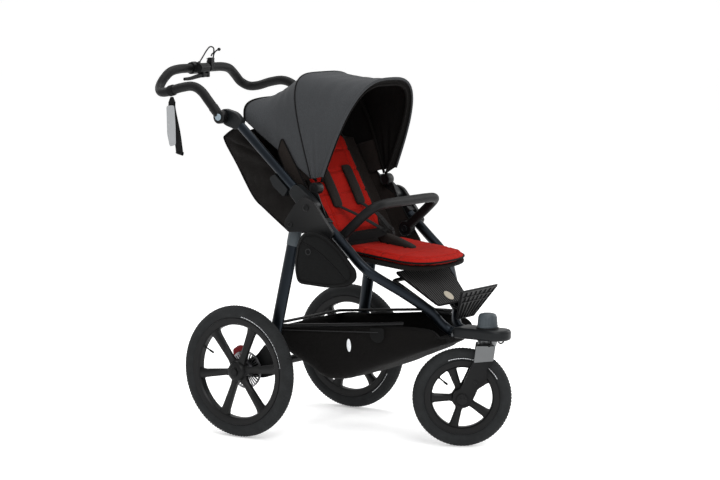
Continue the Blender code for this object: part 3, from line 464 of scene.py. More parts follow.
def ribbon(bm, route, across, width, thickness, loop=False):
    """A flat strap: `across` is the direction of its width, or one for each point."""
    route = [Vector(place) for place in route]
    count = len(route)
    rings = []
    for index, place in enumerate(route):
        if loop:
            along = route[(index + 1) % count] - route[index - 1]
        else:
            along = route[min(index + 1, count - 1)] - route[max(index - 1, 0)]
        side = Vector(across[index] if isinstance(across, list) else across)
        side = (side - along.normalized() * side.dot(along.normalized())).normalized()
        normal = along.cross(side).normalized()
        corners = ((-1, -0.7), (-0.9, -1), (0.9, -1), (1, -0.7), (1, 0.7), (0.9, 1), (-0.9, 1), (-1, 0.7))
        ring = [bm.verts.new(place + side * a * width / 2 + normal * b * thickness / 2) for a, b in corners]
        rings.append(ring)
    pairs = list(zip(rings, rings[1:]))
    if loop:
        pairs.append((rings[-1], rings[0]))
    for low, high in pairs:
        for k in range(len(low)):
            after = (k + 1) % len(low)
            bm.faces.new((low[k], low[after], high[after], high[k]))
    if not loop:
        bm.faces.new(rings[0])
        bm.faces.new(rings[-1])
    return bm


def revolve(bm, profile, steps=64, axis="X", centre=(0, 0, 0), shift=None):
    """A solid of revolution from (radius, station) pairs; `shift(angle, index)` moves the surface out."""
    rings = []
    made = []
    for index, (radius, station) in enumerate(profile):
        if radius <= 0:
            ring = [bm.verts.new((0, 0, station))] * steps
            made.append(ring[0])
        else:
            ring = []
            for step in range(steps):
                angle = 2 * math.pi * step / steps
                r = radius + (shift(angle, index) if shift else 0.0)
                ring.append(bm.verts.new((r * math.cos(angle), r * math.sin(angle), station)))
            made.extend(ring)
        rings.append(ring)
    pairs = list(zip(rings, rings[1:]))
    if profile[0][0] > 0:
        pairs.append((rings[-1], rings[0]))
    for low, high in pairs:
        for step in range(steps):
            after = (step + 1) % steps
            corners = dict.fromkeys((low[step], low[after], high[after], high[step]))
            if len(corners) > 2:
                bm.faces.new(corners)
    turn = {
        "X": Matrix.Rotation(math.pi / 2, 4, "Y"), "Y": Matrix.Rotation(-math.pi / 2, 4, "X"), "Z": Matrix()
    }
    bmesh.ops.transform(bm, matrix=Matrix.Translation(centre) @ turn[axis], verts=made)
    return bm


def disc(bm, radius, x0, x1, centre, bevel=0.002, steps=40, dish=0.0):
    """A round boss across the stroller, its outer face dished by `dish`."""
    low, high = sorted((x0, x1))
    rim = radius * 0.72
    profile = [(0, low + dish), (rim, low + dish), (rim + dish, low), (radius - bevel, low)]
    profile += [(radius - bevel * 0.3, low + bevel * 0.3), (radius, low + bevel), (radius, high - bevel)]
    profile += [(radius - bevel * 0.3, high - bevel * 0.3), (radius - bevel, high), (rim + dish, high)]
    profile += [(rim, high - dish), (0, high - dish)]
    return revolve(bm, profile, steps, "X", (0, centre[1], centre[2]))


def rounded(outline, radius, steps=6):
    """The outline of 2D points with each corner cut round."""
    points = []
    count = len(outline)
    for index, corner in enumerate(outline):
        corner = Vector(corner)
        before = Vector(outline[index - 1]) - corner
        after = Vector(outline[(index + 1) % count]) - corner
        reach = min(radius, before.length / 2.2, after.length / 2.2)
        start = corner + before.normalized() * reach
        end = corner + after.normalized() * reach
        for step in range(steps + 1):
            t = step / steps
            points.append(start * (1 - t) ** 2 + corner * 2 * t * (1 - t) + end * t**2)
    return points


def spread_out(outline, spacing):
    """The closed outline with points an even spacing apart."""
    points = [Vector(p) for p in outline]
    result = []
    for a, b in zip(points, [*points[1:], points[0]]):
        steps = max(1, round((b - a).length / spacing))
        result += [a.lerp(b, step / steps) for step in range(steps)]
    return result


def plate(bm, outline, x0, x1, lift=0.0):
    """A solid with a (y, z) outline; the outer face, at x1, can have a raised border of `lift`."""
    near = [bm.verts.new((x0, y, z)) for y, z in outline]
    far = [bm.verts.new((x1, y, z)) for y, z in outline]
    bm.faces.new(near)
    face = bm.faces.new(far)
    for index in range(len(outline)):
        after = (index + 1) % len(outline)
        bm.faces.new((near[index], near[after], far[after], far[index]))
    if lift:
        bm.normal_update()
        bmesh.ops.inset_region(bm, faces=[face], thickness=abs(lift) * 2.5, use_even_offset=True)
        bmesh.ops.translate(bm, vec=(-math.copysign(lift, x1 - x0), 0, 0), verts=face.verts)
    return bm


def slab(bm, outline, z0, z1):
    """A solid with an (x, y) outline between two heights, which are functions of y."""
    low = [bm.verts.new((x, y, z0(y))) for x, y in outline]
    high = [bm.verts.new((x, y, z1(y))) for x, y in outline]
    bm.faces.new(low)
    bm.faces.new(high)
    for index in range(len(outline)):
        after = (index + 1) % len(outline)
        bm.faces.new((low[index], low[after], high[after], high[index]))
    return bm


def pillow(name, outline, to_space, rise, drop, squareness=5.0, rings=14):
    """A closed form over a 2D outline: full in the middle and rounded off to the outline.
    to_space(u, v, w) gives a point from the outline's plane and the height above it."""
    bm = bmesh.new()
    middle = sum((Vector(p) for p in outline), Vector((0, 0))) / len(outline)
    shares = [math.sin(math.pi / 2 * step / rings) for step in range(1, rings)]

    def layer(share, height):
        lift = height * (1 - share**squareness) ** (1 / squareness)
        flat = [middle + (Vector(p) - middle) * share for p in outline]
        return [bm.verts.new(to_space(p.x, p.y, lift)) for p in flat]

    order = [layer(share, -drop) for share in shares]
    order += [layer(share, rise) for share in (1.0, *reversed(shares))]
    tip = bm.verts.new(to_space(middle.x, middle.y, rise))
    base = bm.verts.new(to_space(middle.x, middle.y, -drop))
    count = len(outline)
    for low, high in zip(order, order[1:]):
        for k in range(count):
            after = (k + 1) % count
            bm.faces.new((low[k], low[after], high[after], high[k]))
    for ring, point in ((order[0], base), (order[-1], tip)):
        for k in range(count):
            bm.faces.new((ring[k], ring[(k + 1) % count], point))
    return finish_mesh(bm, name, 70)


def cloth_grid(name, rows, thickness=0.0, offset=-1.0):
    """A sheet through a grid of points, with a wall if it has a thickness."""
    bm = bmesh.new()
    grid = [[bm.verts.new(point) for point in row] for row in rows]
    for low, high in zip(grid, grid[1:]):
        for index in range(len(low) - 1):
            bm.faces.new((low[index], low[index + 1], high[index + 1], high[index]))
    obj = finish_mesh(bm, name, 75)
    if thickness:
        solid = obj.modifiers.new("Cloth thickness", "SOLIDIFY")
        solid.thickness = thickness
        solid.offset = offset
        baked(obj)
        obj.data.shade_smooth()
    return obj


def vertices_of(obj):
    places = np.empty(len(obj.data.vertices) * 3)
    obj.data.vertices.foreach_get("co", places)
    return places.reshape(-1, 3)


def set_vertices(obj, places):
    obj.data.vertices.foreach_set("co", places.reshape(-1))
    obj.data.update()


def puffed(obj, voxel=0.005, cap=0.007, pressure=4.0, subdivide=1):
    """Swells a closed form by cloth under pressure; every point moves out by 0 to cap."""
    remesh = obj.modifiers.new("Even mesh", "REMESH")
    remesh.mode = "VOXEL"
    remesh.voxel_size = voxel
    baked(obj)
    start = vertices_of(obj)
    normals = np.array([v.normal for v in obj.data.vertices])
    cloth = obj.modifiers.new("Filling", "CLOTH")
    cloth.settings.quality = 4
    cloth.settings.use_pressure = True
    cloth.settings.uniform_pressure_force = pressure
    cloth.settings.effector_weights.gravity = 0
    for step in range(1, 21):
        bpy.context.scene.frame_set(step)
    baked(obj)
    bpy.context.scene.frame_set(1)
    swell = ((vertices_of(obj) - start) * normals).sum(axis=1, keepdims=True)
    set_vertices(obj, start + normals * np.clip(swell, 0, cap))
    if subdivide:
        finer = obj.modifiers.new("Finer", "SUBSURF")
        finer.levels = finer.render_levels = subdivide
        baked(obj)
    obj.data.shade_smooth()
    return obj


def dense(line, spacing=0.002):
    result = []
    for a, b in zip(line, line[1:]):
        a, b = Vector(a), Vector(b)
        steps = max(1, int((b - a).length / spacing))
        result += [a.lerp(b, step / steps) for step in range(steps)]
    return [*result, Vector(line[-1])]


def on_surface(obj, line, direction, lift=0.0, reach=0.08):
    """The line's points dropped onto the piece along a direction, and lifted off it."""
    graph = bpy.context.evaluated_depsgraph_get()
    tree = BVHTree.FromObject(obj, graph)
    direction = Vector(direction).normalized()
    shift = Vector((0, OUTLINE_MIDDLE, 0))
    landed = []
    for place in line:
        hit = tree.ray_cast(Vector(place) + shift - direction * reach, direction, 2 * reach)[0]
        if hit is not None:
            landed.append(hit - shift - direction * lift)
    return landed


def carve(obj, lines, width, depth, ridge=0.0):
    """Presses sewn seams into the piece: each line is a groove, with a slight fullness beside it."""
    points = [p + Vector((0, OUTLINE_MIDDLE, 0)) for line in lines for p in dense(line)]
    tree = KDTree(len(points))
    for index, point in enumerate(points):
        tree.insert(point, index)
    tree.balance()
    places = vertices_of(obj)
    normals = np.array([v.normal for v in obj.data.vertices])
    away = np.array([tree.find(Vector(p))[2] for p in places])
    move = -depth * np.exp(-((away / width) ** 2)) + ridge * np.exp(-(((away - 2.2 * width) / width) ** 2))
    set_vertices(obj, places + normals * move[:, None])
    return obj


def stitches(name, lines, radius=0.0005, length=0.0032, pitch=0.0048):
    """Short raised threads along the lines, all in one piece."""
    bm = bmesh.new()
    for line in lines:
        points = dense(line, pitch)
        for a, b in zip(points, points[1:]):
            along = b - a
            if along.length < pitch * 0.4:
                continue
            along.normalize()
            side = along.orthogonal().normalized()
            up = along.cross(side)
            ends = [bm.verts.new(a), bm.verts.new(a + along * length)]
            middle = a + along * length / 2
            belt = []
            for k in range(5):
                angle = 2 * math.pi * k / 5
                offset = (side * math.cos(angle) + up * math.sin(angle)) * radius
                belt.append((bm.verts.new(middle - along * length * 0.3 + offset),
                             bm.verts.new(middle + along * length * 0.3 + offset)))
            for k in range(5):
                low, high = belt[k], belt[(k + 1) % 5]
                bm.faces.new((low[0], high[0], high[1], low[1]))
                bm.faces.new((ends[0], high[0], low[0]))
                bm.faces.new((ends[1], low[1], high[1]))
    return finish_mesh(bm, name, 80)


def wrinkled(obj, size, depth, seed=0.0, stretch=(1, 1, 1)):
    """Moves the surface in and out in soft folds."""
    places = vertices_of(obj)
    normals = np.array([v.normal for v in obj.data.vertices])
    scale = np.array(stretch) / size
    waves = [noise.fractal(Vector(p * scale) + Vector((seed, seed, seed)), 1.0, 2.0, 3) for p in places]
    set_vertices(obj, places + normals * (np.array(waves) * depth)[:, None])
    return obj


# Wheels


def tyre(name, radius, centre, body, node, turn=0.0):
    """A full tyre: fine slanting tread on the crown, ribs on the shoulders and a ring on the wall."""
    half = TYRE_WIDTH / 2
    seat = radius - TYRE_HEIGHT
    arc = 30
    section = [(seat, -half * 0.60)]
    for step in range(arc + 1):
        angle = math.radians(-48 + 276 * step / arc)
        section.append((seat + 0.0182 + 0.0208 * math.sin(angle), -half * math.cos(angle)))
    section.append((seat, half * 0.60))
    repeats = round(2 * math.pi * radius / 0.0105)
    steps = repeats * 4
    crown = seat + 0.0182 + 0.0208 * 0.45

    def tread(angle, index):
        r, x = section[index]
        if r < crown:
            wall = seat + 0.0165
            return 0.0006 * math.exp(-(((r - wall) / 0.0012) ** 2))
        slant = angle * repeats / (2 * math.pi) + abs(x) / half * 1.5
        block = 0.0 if (slant % 1.0) < 0.58 else -0.0016
        rib = -0.0010 if 0.22 < abs(x) / half < 0.32 else 0.0
        return min(block, rib)

    bm = revolve(bmesh.new(), section, steps, "X", (0, 0, 0), tread)
    obj = finish_mesh(bm, name, 50)
    place_wheel(obj, centre, turn)
    return dress(obj, "tyre", body, "tyre", node)


def place_wheel(obj, centre, turn=0.0):
    """Moves a wheel's piece, made round the X axis at the origin, to its hub."""
    back = Matrix.Translation((0, -OUTLINE_MIDDLE, 0))
    hub = Matrix.Translation(Vector(centre) + Vector((0, OUTLINE_MIDDLE, 0)))
    obj.data.transform(hub @ Matrix.Rotation(turn, 4, "Z") @ back)


def tape_glint_arcs(name, radius, centre, body, glint_spans, turn=0.0):
    """Dashed pale tape on both walls of the tyre, laid only over the spans where the all-round tape glints:
    a painted glint. Spans are (first, last) angles in the wheel's plane.
    """
    bm = bmesh.new()
    seat = radius - TYRE_HEIGHT
    tape = seat + 0.0085
    # Pale tape only over these spans, where the all-round tape glints: painted glint.
    for first, last in glint_spans:
        dash = math.radians(2.6)
        angle = math.radians(first)
        while angle < math.radians(last):
            for sign in (-1, 1):
                corners = []
                for a, r in (
                    (angle, tape),
                    (angle + dash, tape),
                    (angle + dash, tape + 0.0018),
                    (angle, tape + 0.0018),
                ):
                    lift = math.asin(max(-1.0, min(1.0, (r - seat - 0.0182) / 0.0208)))
                    x = sign * (TYRE_WIDTH / 2 * math.cos(lift) + 0.0005)
                    corners.append(bm.verts.new((x, r * math.cos(a), r * math.sin(a))))
                bm.faces.new(corners)
            angle += dash * 1.3
    obj = finish_mesh(bm, name)
    place_wheel(obj, centre, turn)
    return dress(obj, "reflective", body, "tyre")


def rim(name, radius, spokes, start, centre, body, node, turn=0.0, valve=2.4):
    """A moulded wheel: flanged barrel, flaring spokes with a raised spine, and a stepped hub."""
    seat = radius - TYRE_HEIGHT
    well = seat - 0.019
    hub = 0.029
    steps = 120
    bm = bmesh.new()
    barrel = [
        (seat + 0.0022, -0.0152),
        (seat + 0.0016, -0.0168),
        (seat - 0.001, -0.0168),
        (well + 0.004, -0.0150),
        (well, -0.0105),
        (well - 0.0006, 0.0),
        (well, 0.0105),
        (well + 0.004, 0.0150),
        ( seat - 0.001, 0.0168 ),
        (seat + 0.0016, 0.0168),
        (seat + 0.0022, 0.0152),
        (seat - 0.003, 0.0130),
        ( seat - 0.003, -0.0130 ),
    ]
    revolve(bm, barrel, steps)
    core = [(0.0064, -0.0240), (0.0150, -0.0240), (0.0165, -0.0225), (0.0240, -0.0220), (0.0275, -0.0195),
            (0.0300, -0.0120), (0.0320, -0.0090), (0.0320, 0.0090), (0.0300, 0.0120), (0.0275, 0.0195),
            (0.0240, 0.0220), (0.0165, 0.0225), (0.0150, 0.0240), (0.0064, 0.0240)]
    revolve(bm, core, 64)
    for spoke in range(spokes):
        angle = start + 2 * math.pi * spoke / spokes
        add_spoke(bm, angle, hub, well)
    obj = finish_mesh(bm, name, 38)
    place_wheel(obj, centre, turn)
    dress(obj, "rim", body, "rim", node)
    bm = bmesh.new()
    outward = Vector((0, math.cos(valve), math.sin(valve)))
    profile = [
        (0, well - 0.034),
        (0.0028, well - 0.034),
        (0.0034, well - 0.032),
        (0.0034, well - 0.020),
        (0.0024, well - 0.019),
        (0.0024, well - 0.004),
        (0.0042, well - 0.002),
        (0.0042, well + 0.001),
        ( 0, well + 0.001 ),
    ]
    revolve(bm, profile, 16, "Z")
    tilt = Vector((0, 0, 1)).rotation_difference(outward).to_matrix().to_4x4()
    bmesh.ops.transform(bm, matrix=tilt, verts=bm.verts)
    stem = finish_mesh(bm, f"{name}_valve", 50)
    place_wheel(stem, centre, turn)
    dress(stem, "plastic_dark", body, "rim")
    return obj


def add_spoke(bm, angle, inner, outer):
    """One spoke: narrow at the hub, flaring into the barrel, with sloped shoulders beside a flat spine."""
    radial = Vector((0, math.cos(angle), math.sin(angle)))
    around = Vector((0, -math.sin(angle), math.cos(angle)))
    rings = []
    count = 12
    for step in range(count + 1):
        t = step / count
        r = inner - 0.002 + (outer + 0.003 - inner + 0.002) * t
        half = 0.0092 + 0.0045 * t + 0.012 * max(0.0, t - 0.82) ** 2 / 0.0324 * 0.5 + 0.006 * max(
            0.0, 0.12 - t
        ) / 0.12
        face = 0.0105 - 0.0015 * math.sin(math.pi * t)
        corners = ((-1.0, -face * 0.55), (-0.55, -face), (0.55, -face), (1.0, -face * 0.55),
                   (1.0, face * 0.55), (0.55, face), (-0.55, face), (-1.0, face * 0.55))
        rings.append([bm.verts.new(radial * r + around * half * a + Vector((x, 0, 0))) for a, x in corners])
    for low, high in zip(rings, rings[1:]):
        for k in range(8):
            after = (k + 1) % 8
            bm.faces.new((low[k], low[after], high[after], high[k]))
    bm.faces.new(rings[0])
    bm.faces.new(rings[-1])


def brake_rotor(side, sign):
    """A thin steel ring with slanting slots on a carrier."""
    face = -sign * 0.0325
    inner = 0.020
    outer = 0.058
    bm = bmesh.new()
    spokes = 36
    around = 4
    bands = (inner, 0.026, 0.0295, 0.049, 0.0525, outer)
    grid = []
    for band in bands:
        slant = (band - inner) * 9.0
        ring = []
        for step in range(spokes * around):
            angle = 2 * math.pi * (step + slant) / (spokes * around)
            ring.append(bm.verts.new((0, band * math.cos(angle), band * math.sin(angle))))
        grid.append(ring)
    total = spokes * around
    for band, (low, high) in enumerate(zip(grid, grid[1:])):
        for step in range(total):
            if band in (1, 2, 3) and step % around in (1, 2):
                continue
            bm.faces.new((low[step], low[(step + 1) % total], high[(step + 1) % total], high[step]))
    bmesh.ops.recalc_face_normals(bm, faces=bm.faces)
    bmesh.ops.solidify(bm, geom=bm.faces[:], thickness=0.0026)
    bmesh.ops.translate(bm, vec=(face, 0, 0), verts=bm.verts)
    back = -sign * 0.0245
    low, high = sorted((back, face))
    revolve(bm, [(0.0070, low), (0.0215, low), (0.0215, high), (0.0070, high)], 48)
    obj = finish_mesh(bm, f"brake_rotor_{side}", 35)
    place_wheel(obj, (sign * WHEEL_X, 0, REAR_RADIUS))
    return dress(obj, "disc", f"rear_wheel_{side}", "disc", f"brake_disc_{side}")


def wheels():
    for side, sign in SIDES:
        centre = (sign * WHEEL_X, 0, REAR_RADIUS)
        body = f"rear_wheel_{side}"
        tyre(f"tyre_rear_{side}", REAR_RADIUS, centre, body, f"rear_tyre_{side}")
        rim(
            f"wheel_rear_{side}",
            REAR_RADIUS,
            6,
            math.radians(-8),
            centre,
            body,
            f"rear_rim_{side}",
            valve=math.radians(26),
        )
        # The pale tape goes only where the rear tyre's all-round tape glints: painted glint.
        tape_glint_arcs(
            f"glint_tape_rear_{side}", REAR_RADIUS, centre, body, ((98, 172),) if sign < 0 else ((206, 236),)
        )
        brake_rotor(side, sign)
        wheel_nut(side, sign)
    hub = Matrix.Rotation(FORK_TURN, 3, "Z") @ Vector((0, FORK_TRAIL, 0)) + Vector(
        (0, STEER_Y, FRONT_RADIUS),
    )
    tyre("tyre_front", FRONT_RADIUS, hub, "front_wheel", "front_tyre", FORK_TURN)
    rim(
        "wheel_front",
        FRONT_RADIUS,
        5,
        math.radians(-2),
        hub,
        "front_wheel",
        "front_rim",
        FORK_TURN,
        math.radians(40),
    )
    # The pale tape goes only where the front tyre's all-round tape glints: painted glint.
    glint_spans = ((70, 106), (128, 150))
    tape_glint_arcs("glint_tape_front", FRONT_RADIUS, hub, "front_wheel", glint_spans, FORK_TURN)


def wheel_nut(side, sign):
    """The quick-release cap on the stub's end."""
    bm = bmesh.new()
    x0 = sign * 0.3215
    disc(bm, 0.0135, x0, sign * 0.3275, (0, 0, REAR_RADIUS), 0.002, 32, 0.0008)
    obj = finish_mesh(bm, f"wheel_cap_{side}", 40)
    return dress(obj, "plastic_dark", "rear_frame", "plastic_dark")


# Frame


def bolt(name, place, x0, x1, radius, body, finish="steel"):
    """A button-head screw with a hexagon socket, facing across the stroller; x1 is its outer face."""
    bm = bmesh.new()
    rise = x1 - x0
    crown = [
        (0, x0),
        (radius, x0),
        (radius, x0 + rise * 0.35),
        (radius * 0.86, x0 + rise * 0.8),
        (radius * 0.55, x1),
    ]
    revolve(bm, crown, 28, "X", (0, place[1], place[2]))
    socket = bmesh.ops.create_circle(bm, segments=6, radius=radius * 0.45, cap_ends=True)["verts"]
    matrix = Matrix.Translation((x1, place[1], place[2])) @ Matrix.Rotation(math.pi / 2, 4, "Y")
    bmesh.ops.transform(bm, matrix=matrix, verts=socket)
    bmesh.ops.translate(bm, vec=(-rise * 0.4, 0, 0), verts=socket)
    obj = finish_mesh(bm, name, 35)
    return dress(obj, finish, body, "steel")


def frame_tubes():
    for side, sign in SIDES:
        start = FOLD_AXIS - ALONG_TUBE * 0.080
        knots = [
            (sign * TUBE_X, start.y, start.z),
            (sign * TUBE_X, -0.345, 0.587),
            (sign * TUBE_X, -0.392, 0.545),
            (sign * 0.202, -0.430, 0.511),
            (sign * 0.140, -0.487, 0.459),
            (sign * 0.078, -0.539, 0.403),
            (sign * 0.042, -0.560, 0.362),
            (sign * 0.029, -0.579, 0.3430),
            (sign * 0.028, -0.5960, 0.3375),
        ]
        obj = tube(f"tube_lower_{side}", smooth_route(knots, 8), 0.027, 0.030, 28)
        dress(obj, "frame", "frame", "frame", f"lower_tube_{side}")
        low = FOLD_AXIS + ALONG_TUBE * 0.0850
        high = HANDLE_AXIS - ALONG_TUBE * 0.0640
        high += ACROSS_TUBE * (low - HANDLE_AXIS).dot(ACROSS_TUBE)
        route = [Vector((sign * TUBE_X, 0, 0)) + low.lerp(high, k / 6) for k in range(7)]
        obj = tube(f"tube_upper_{side}", route, 0.024, 0.028, 28)
        dress(obj, "frame", "upper_frame", "frame", f"upper_tube_{side}")
        rear_leg(side, sign)


def rear_leg(side, sign):
    top = Vector((sign * 0.2125, LEG_AXIS.y + 0.004, LEG_AXIS.z - 0.010))
    foot = Vector((sign * 0.2360, -0.0870, 0.2905))
    route = [top.lerp(foot, k / 6) for k in range(7)]
    bm = sweep(bmesh.new(), route, 0.025, 0.040, 32)
    disc(bm, 0.021, sign * 0.2000, sign * 0.2355, LEG_AXIS, 0.003)
    dress(finish_mesh(bm, f"leg_rear_{side}"), "frame", "rear_frame", "frame", f"rear_leg_{side}")
    collar = [top.lerp(foot, t) for t in (0.02, 0.05, 0.13, 0.16)]
    obj = tube(
        f"leg_collar_{side}",
        collar,
        0.0275,
        0.0425,
        32,
        taper=lambda t: 0.985 + 0.03 * math.sin(math.pi * t),
    )
    dress(obj, "cap_grey", "rear_frame", "plastic_grey")
    bolt(f"leg_bolt_{side}", LEG_AXIS, sign * 0.2500, sign * 0.2530, 0.008, "frame", "plastic_dark")


def hinges():
    low = FOLD_AXIS - ALONG_TUBE * 0.078
    back = LEG_AXIS + Vector((0, 0.012, -0.024))
    cheek = [
        FOLD_AXIS + ALONG_TUBE * 0.030 + ACROSS_TUBE * 0.020,
        FOLD_AXIS + ACROSS_TUBE * 0.034,
        low + ACROSS_TUBE * 0.020,
        low - ALONG_TUBE * 0.045 + ACROSS_TUBE * 0.012,
        low - ALONG_TUBE * 0.045 - ACROSS_TUBE * 0.012,
        low - ACROSS_TUBE * 0.022,
        back + Vector((0, -0.034, 0.004)),
        back,
        LEG_AXIS + Vector((0, 0.024, 0.006)),
        FOLD_AXIS + ALONG_TUBE * 0.036 - ACROSS_TUBE * 0.020,
    ]
    plug = FOLD_AXIS - ALONG_TUBE * 0.0700
    span = ((0.008, -0.017), (0.008, 0.017), (-0.0096, 0.017), (-0.0096, -0.017))
    arm_end = FOLD_AXIS + ALONG_TUBE * 0.0846
    arm = [
        FOLD_AXIS - ALONG_TUBE * 0.020 + ACROSS_TUBE * 0.024,
        FOLD_AXIS + ALONG_TUBE * 0.020 + ACROSS_TUBE * 0.026,
        arm_end + ACROSS_TUBE * 0.019,
        arm_end - ACROSS_TUBE * 0.019,
        FOLD_AXIS + ALONG_TUBE * 0.018 - ACROSS_TUBE * 0.026,
        FOLD_AXIS - ALONG_TUBE * 0.020 - ACROSS_TUBE * 0.022,
    ]
    grip = FOLD_AXIS + ALONG_TUBE * 0.128 - ACROSS_TUBE * 0.0330
    release = [(0.036, -0.004), (0.030, 0.0175), (-0.036, 0.0175), (-0.040, -0.010), (0.010, -0.014)]
    for side, sign in SIDES:
        bm = plate(bmesh.new(), rounded([p.yz for p in cheek], 0.014), sign * 0.2365, sign * 0.2500, 0.0012)
        plate(
            bm,
            [(plug + ALONG_TUBE * a + ACROSS_TUBE * b).yz for a, b in span],
            sign * 0.2060,
            sign * 0.2370,
        )
        obj = eased(finish_mesh(bm, f"hinge_cover_{side}", 35), 0.0014)
        dress(obj, "plastic_dark", "frame", "plastic_dark", f"hinge_cheek_{side}")
        bm = plate(bmesh.new(), rounded([p.yz for p in arm], 0.016), sign * 0.2050, sign * 0.2361)
        obj = eased(finish_mesh(bm, f"hinge_block_{side}", 35), 0.0030, 3)
        dress(obj, "plastic_grey", "upper_frame", "plastic_grey", f"hinge_arm_{side}")
        outline = rounded([(grip + ALONG_TUBE * a + ACROSS_TUBE * b).yz for a, b in release], 0.007)
        bm = plate(bmesh.new(), outline, sign * 0.2080, sign * 0.2310)
        for rib in range(5):
            place = grip + ALONG_TUBE * (0.020 - 0.010 * rib) - ACROSS_TUBE * 0.0085
            ends = [Vector((sign * x, place.y, place.z)) for x in (0.211, 0.228)]
            sweep(bm, ends, 0.004, 0.004, 8, across=tuple(ALONG_TUBE))
        obj = eased(finish_mesh(bm, f"fold_grip_{side}", 35), 0.0015)
        dress(obj, "plastic_grey", f"fold_release_{side}", "plastic_grey", f"fold_release_{side}")
        bolt(f"fold_bolt_{side}", FOLD_AXIS, sign * 0.2498, sign * 0.2524, 0.010, "frame", "plastic_dark")


def handle_joints():
    low = FOLD_AXIS + ALONG_TUBE * 0.0850
    start = HANDLE_AXIS - ALONG_TUBE * 0.0636
    start += ACROSS_TUBE * (low - HANDLE_AXIS).dot(ACROSS_TUBE)
    housing = [
        start + ACROSS_TUBE * 0.017,
        start - ACROSS_TUBE * 0.018,
        HANDLE_AXIS - ALONG_TUBE * 0.018 - ACROSS_TUBE * 0.018,
        HANDLE_AXIS + ALONG_TUBE * 0.019 - ACROSS_TUBE * 0.016,
        HANDLE_AXIS + ALONG_TUBE * 0.021 + ACROSS_TUBE * 0.016,
        start + ALONG_TUBE * 0.040 + ACROSS_TUBE * 0.019,
    ]
    for side, sign in SIDES:
        bm = plate(bmesh.new(), rounded([p.yz for p in housing], 0.014), sign * 0.2050, sign * 0.2266)
        obj = eased(finish_mesh(bm, f"handle_socket_{side}", 35), 0.0028, 3)
        dress(obj, "plastic_grey", "upper_frame", "plastic_grey", f"handle_housing_{side}")
        bm = disc(bmesh.new(), 0.0102, sign * 0.2468, sign * 0.2560, HANDLE_AXIS, 0.0015, 40, 0.0010)
        obj = finish_mesh(bm, f"handle_push_{side}", 40)
        dress(obj, "light_plastic", f"handle_button_{side}", "light_plastic", f"handle_button_{side}")


def handlebar():
    half = [
        (0.2425, 0.1200, 0.9740),
        (0.2420, 0.1500, 1.0060),
        (0.2380, 0.1840, 1.0370),
        (0.2330, 0.2220, 1.0500),
        (0.2310, 0.2700, 1.0440),
        (0.2300, 0.3180, 1.0310),
        (0.2240, 0.3520, 1.0290),
        (0.2060, 0.3720, 1.0430),
        (0.1820, 0.3760, 1.0660),
        (0.1500, 0.3750, 1.0870),
        (0.1080, 0.3740, 1.0945),
        (0.0540, 0.3740, 1.0950),
    ]
    route = smooth_route(mirrored(half, (0, 0.374, 1.095)), 7)
    obj = tube("handle_foam", route, 0.029, 0.029, 28)
    dress(obj, "foam", "handle", "foam", "handlebar")
    for side, sign in SIDES:
        bm = bmesh.new()
        ring = [
            (0.0108, 0.2420),
            (0.0108, 0.2520),
            (0.0185, 0.2520),
            (0.0205, 0.2500),
            (0.0205, 0.2300),
            (0.0185, 0.2272),
        ]
        profile = [(r, sign * x) for r, x in ring] + [(0.0040, sign * 0.2272), (0.0040, sign * 0.2420)]
        revolve(bm, profile, 48, "X", HANDLE_AXIS)
        neck = [
            (sign * 0.2425, 0.112, 0.9650), (sign * 0.2425, 0.124, 0.9785), (sign * 0.2422, 0.134, 0.9890)
        ]
        sweep(bm, smooth_route(neck, 5), 0.0300, 0.0310, 28, taper=lambda t: 0.94 + 0.08 * t)
        dress(finish_mesh(bm, f"handle_joint_{side}", 38), "plastic_dark", "handle", "plastic_dark")
    bm = bmesh.new()
    band = [
        (0.0140, -0.0085),
        (0.0168, -0.0085),
        (0.0172, -0.006),
        (0.0172, 0.006),
        (0.0168, 0.0085),
        (0.0140, 0.0085),
    ]
    revolve(bm, band, 40, "Y")
    bmesh.ops.transform(
        bm,
        matrix=Matrix.Translation((-0.2304, 0.3045, 1.0348)) @ Matrix.Rotation(math.radians(-15), 4, "X"),
        verts=bm.verts,
    )
    dress(finish_mesh(bm, "strap_loop_band", 45), "webbing", "handle", "webbing")


